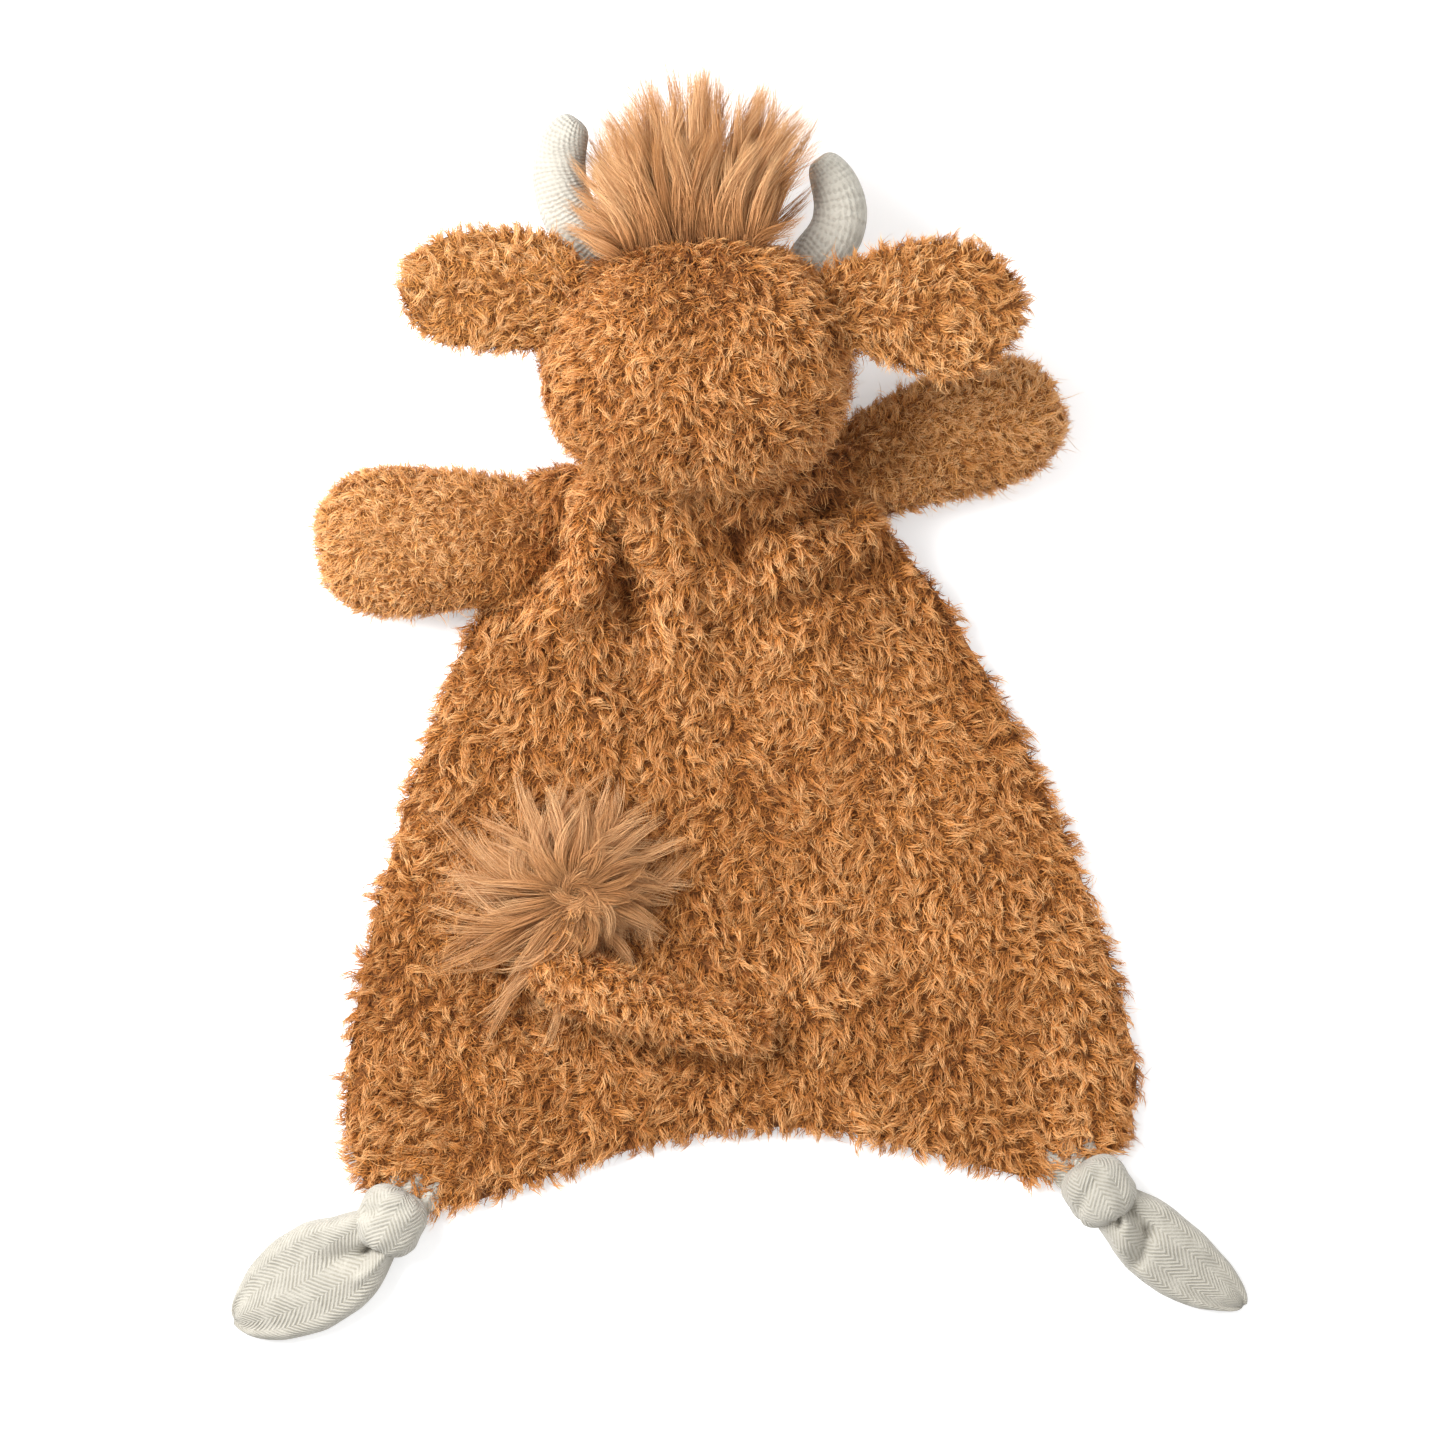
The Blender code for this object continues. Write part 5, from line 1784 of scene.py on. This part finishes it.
@dataclass
class Studio:
    """The pale table, the soft light and the camera straight above."""

    frame_mm: float = 375.7
    height: float = 1.35  # of the camera over the table, in metres, like the rest of the studio
    sensor: float = 36.0  # in millimetres
    aim: tuple[float, float] = (-0.0030, 0.0216)
    reach: float = 4.0
    grain_mm: float = 10 / 3
    glow: float = 0.35  # what the table adds to the light it reflects, for the camera and mirrors alone
    # The lamps: name, place, size and power
    lights: tuple[tuple[str, Point, float, float], ...] = (
        ("window_lamp", (-0.50, 0.25, 0.56), 0.42, 9.6),
        ("fill_lamp", (0.95, 0.10, 1.0), 1.2, 6.0),
    )
    lamp_aim: Point = (0.0, 0.02, 0.0)
    sky: float = 0.62  # its strength on the toy; the camera sees it at 1

    def build(self) -> None:
        """Sets up everything that isn't the toy."""
        self.camera()
        self.table()
        self.lamps()
        bpy.context.scene.view_settings.view_transform = "Standard"

    def camera(self) -> None:
        """A long lens straight above the toy."""
        data = bpy.data.cameras.new("overhead_camera")
        data.sensor_width = self.sensor
        data.lens = self.sensor * self.height / (self.frame_mm * MM)
        camera = bpy.data.objects.new("overhead_camera", data)
        camera.location = (*self.aim, self.height)
        bpy.context.scene.collection.objects.link(camera)
        bpy.context.scene.camera = camera

    def table(self) -> None:
        """A white table that stays white round the toy and takes its shadow."""
        mesh = bpy.data.meshes.new("table")
        far = self.reach
        mesh.from_pydata([(-far, -far, 0), (far, -far, 0), (far, far, 0), (-far, far, 0)], [], [(0, 1, 2, 3)])
        table = bpy.data.objects.new("table", mesh)
        bpy.context.scene.collection.objects.link(table)
        material, tree, shader = new_material("white_laminate", Roughness=0.6, Base_Color=colour("F2F2F2"))
        place = add_node(tree, "ShaderNodeTexCoord").outputs["Object"]
        grain = add_node(tree, "ShaderNodeTexNoise", {"Vector": place, "Scale": 1 / (self.grain_mm * MM)})
        rough = add_node(tree, "ShaderNodeMapRange", {"Value": grain.outputs[0], "To Min": 0.55, "To Max": 0.65})
        wire(tree, shader, Roughness=rough.outputs[0])
        path = add_node(tree, "ShaderNodeLightPath").outputs
        direct = {0: path["Is Camera Ray"], 1: path["Is Glossy Ray"]}
        seen = add_node(tree, "ShaderNodeMath", direct, operation="MAXIMUM")
        through = {0: seen.outputs[0], 1: path["Is Transmission Ray"]}
        seen = add_node(tree, "ShaderNodeMath", through, operation="MAXIMUM")
        lift = add_node(tree, "ShaderNodeMath", {0: seen.outputs[0], 1: self.glow}, operation="MULTIPLY")
        glow = add_node(tree, "ShaderNodeEmission", {"Color": (1, 1, 1, 1), "Strength": lift.outputs[0]})
        both = add_node(tree, "ShaderNodeAddShader", {0: shader.outputs[0], 1: glow.outputs[0]})
        tree.links.new(both.outputs[0], tree.nodes["Material Output"].inputs["Surface"])
        mesh.materials.append(material)

    def lamps(self) -> None:
        """A large soft lamp from the upper left, a weaker one from the right, and an even sky."""
        for name, place, size, power in self.lights:
            data = bpy.data.lights.new(name, "AREA")
            data.size, data.energy = size, power
            lamp = bpy.data.objects.new(name, data)
            lamp.location = place
            way = np.array(self.lamp_aim) - np.array(place)
            yaw, pitch = math.atan2(way[0], -way[1]), math.acos(-way[2] / np.linalg.norm(way))
            lamp.rotation_euler = (pitch, 0, yaw + math.pi)
            bpy.context.scene.collection.objects.link(lamp)
        world = bpy.data.worlds.new("soft_sky")
        world.use_nodes = True
        tree = world.node_tree
        seen = add_node(tree, "ShaderNodeLightPath").outputs["Is Camera Ray"]
        level = add_node(tree, "ShaderNodeMapRange", {"Value": seen, "To Min": self.sky, "To Max": 1.0})
        back = tree.nodes["Background"]
        back.inputs[0].default_value = (1, 1, 1, 1)
        tree.links.new(level.outputs[0], back.inputs[1])
        bpy.context.scene.world = world


def main() -> None:
    """Builds the toy, piece by piece, and the studio round it."""
    logging.basicConfig(level=logging.INFO, format="%(name)s: %(message)s")
    Studio().build()
    sewing = Sewing()
    parts = (
        Blanket(),
        Head(),
        Topknot(),
        Horn(Side.LEFT, ((-32.5, 136.5, 36.0), (-51.6, 159.5, 32.0), (-39.5, 174.0, 36.0)), (-36.66, 139.18, 35.33)),
        Horn(Side.RIGHT, ((14.5, 134.5, 37.0), (35.4, 146.5, 33.0), (21.4, 164.6, 36.0)), (21.33, 136.29, 35.18)),
        Ear(
            Side.LEFT,
            spine=((-39.0, 128.2, 50.0), (-63.0, 131.3, 51.4), (-82.0, 128.9, 51.4)),
            hinge=(-47.6, 121.46, 52.06),
            half_width=13.9,
            widths=((0, 1.05), (0.2, 1.05), (0.5, 1.03), (0.75, 0.97), (1, 0.68)),
            seed=31,
            # paler than the right ear: painted light from the lamp on the left
            tone=0.92,
        ),
        Ear(
            Side.RIGHT,
            spine=((21.0, 125.5, 50.0), (50.0, 128.0, 51.4), (70.2, 121.0, 51.4)),
            hinge=(28.55, 121.46, 52.06),
            half_width=16.2,
            widths=((0, 0.66), (0.2, 0.72), (0.5, 0.98), (0.75, 1.0), (1, 0.66)),
            seed=32,
            # darker than the left ear: painted shade
            tone=0.36,
        ),
        Arm(
            Side.LEFT,
            half_width=18.4,
            spine=((-45.5, 69.0, 10.4), (-76.0, 69.2, 11.0), (-105.6, 67.2, 11.0)),
            hinge=(-52.87, 66.95, 13.85),
            droop=(-1, -0.25, 0),
            crease=((-62.0, 54.0), (-44.0, 70.0)),
            seed=41,
            # paler than the right arm: painted light from the lamp on the left
            tone=0.90,
        ),
        Arm(
            Side.RIGHT,
            half_width=15.2,
            spine=((24.5, 84.0, 10.6), (54.5, 95.6, 11.0), (82.0, 104.8, 11.0)),
            hinge=(31.36, 85.1, 14.83),
            droop=(1, 0.1, 0),
            crease=((12.0, 93.0), (28.0, 80.0)),
            seed=43,
            # darker than the left arm: painted shade for the head's shadow
            tone=0.76,
        ),
        Tail(),
        Tab(
            Side.LEFT,
            strap=((-80.5, -93.5, 3.2), (-85.0, -101.27, 4.2), (-89.4, -107.5, 6.5)),
            knot=((-84.9, -99.6, 7.5), (-92.9, -114.7, 7.5)),
            leaf=((-89.4, -106.67, 7.5), (-102.6, -121.3, 3.5), (-129.2, -132.9, 3.5)),
            hinge=(-84.48, -97.4, 5.5),
            half_width=13.0,
            widths=((0, 0.62), (0.2, 0.78), (0.45, 1), (0.65, 1.03), (0.85, 0.9), (1, 0.66)),
            folds=(
                (4.7, -1.0, 3.2, 11.0, -3.0, 1.3), (3.2, 11.0, -1.5, 20.0, -2.6, 3.4),
                (0.2, 0.0, -0.5, 8.0, -1.8, 0.9), (8.5, 4.0, 6.5, 17.0, 1.4, 2.0), (-5.5, 2.0, -7.5, 14.0, 1.0, 3.0),
            ),
        ),
        Tab(
            Side.RIGHT,
            strap=((85.0, -86.5, 3.2), (90.5, -94.33, 4.2), (94.38, -100.2, 6.5)),
            knot=((90.13, -92.1, 7.5), (98.63, -106.82, 7.5)),
            leaf=((94.38, -99.46, 7.5), (107.6, -113.4, 3.5), (131.6, -129.3, 3.5)),
            hinge=(89.13, -90.37, 5.5),
            half_width=9.5,
            widths=((0, 0.72), (0.2, 0.86), (0.45, 1), (0.65, 1), (0.85, 0.85), (1, 0.58)),
            folds=(
                (2.4, 3.0, 1.0, 18.5, -2.4, 1.6), (1.0, 18.5, -7.0, 21.5, -2.2, 1.5),
                (-1.4, 7.5, -3.2, 10.5, -3.0, 1.0), (-3.4, 12.5, -5.5, 15.5, 2.4, 3.0),
                (6.0, 0.0, 4.5, 9.0, -1.6, 1.0), (3.0, 24.0, 5.0, 33.0, 0.9, 3.0),
            ),
        ),
    )
    for part in parts:
        part.build(sewing)


if __name__ == "__main__":
    main()
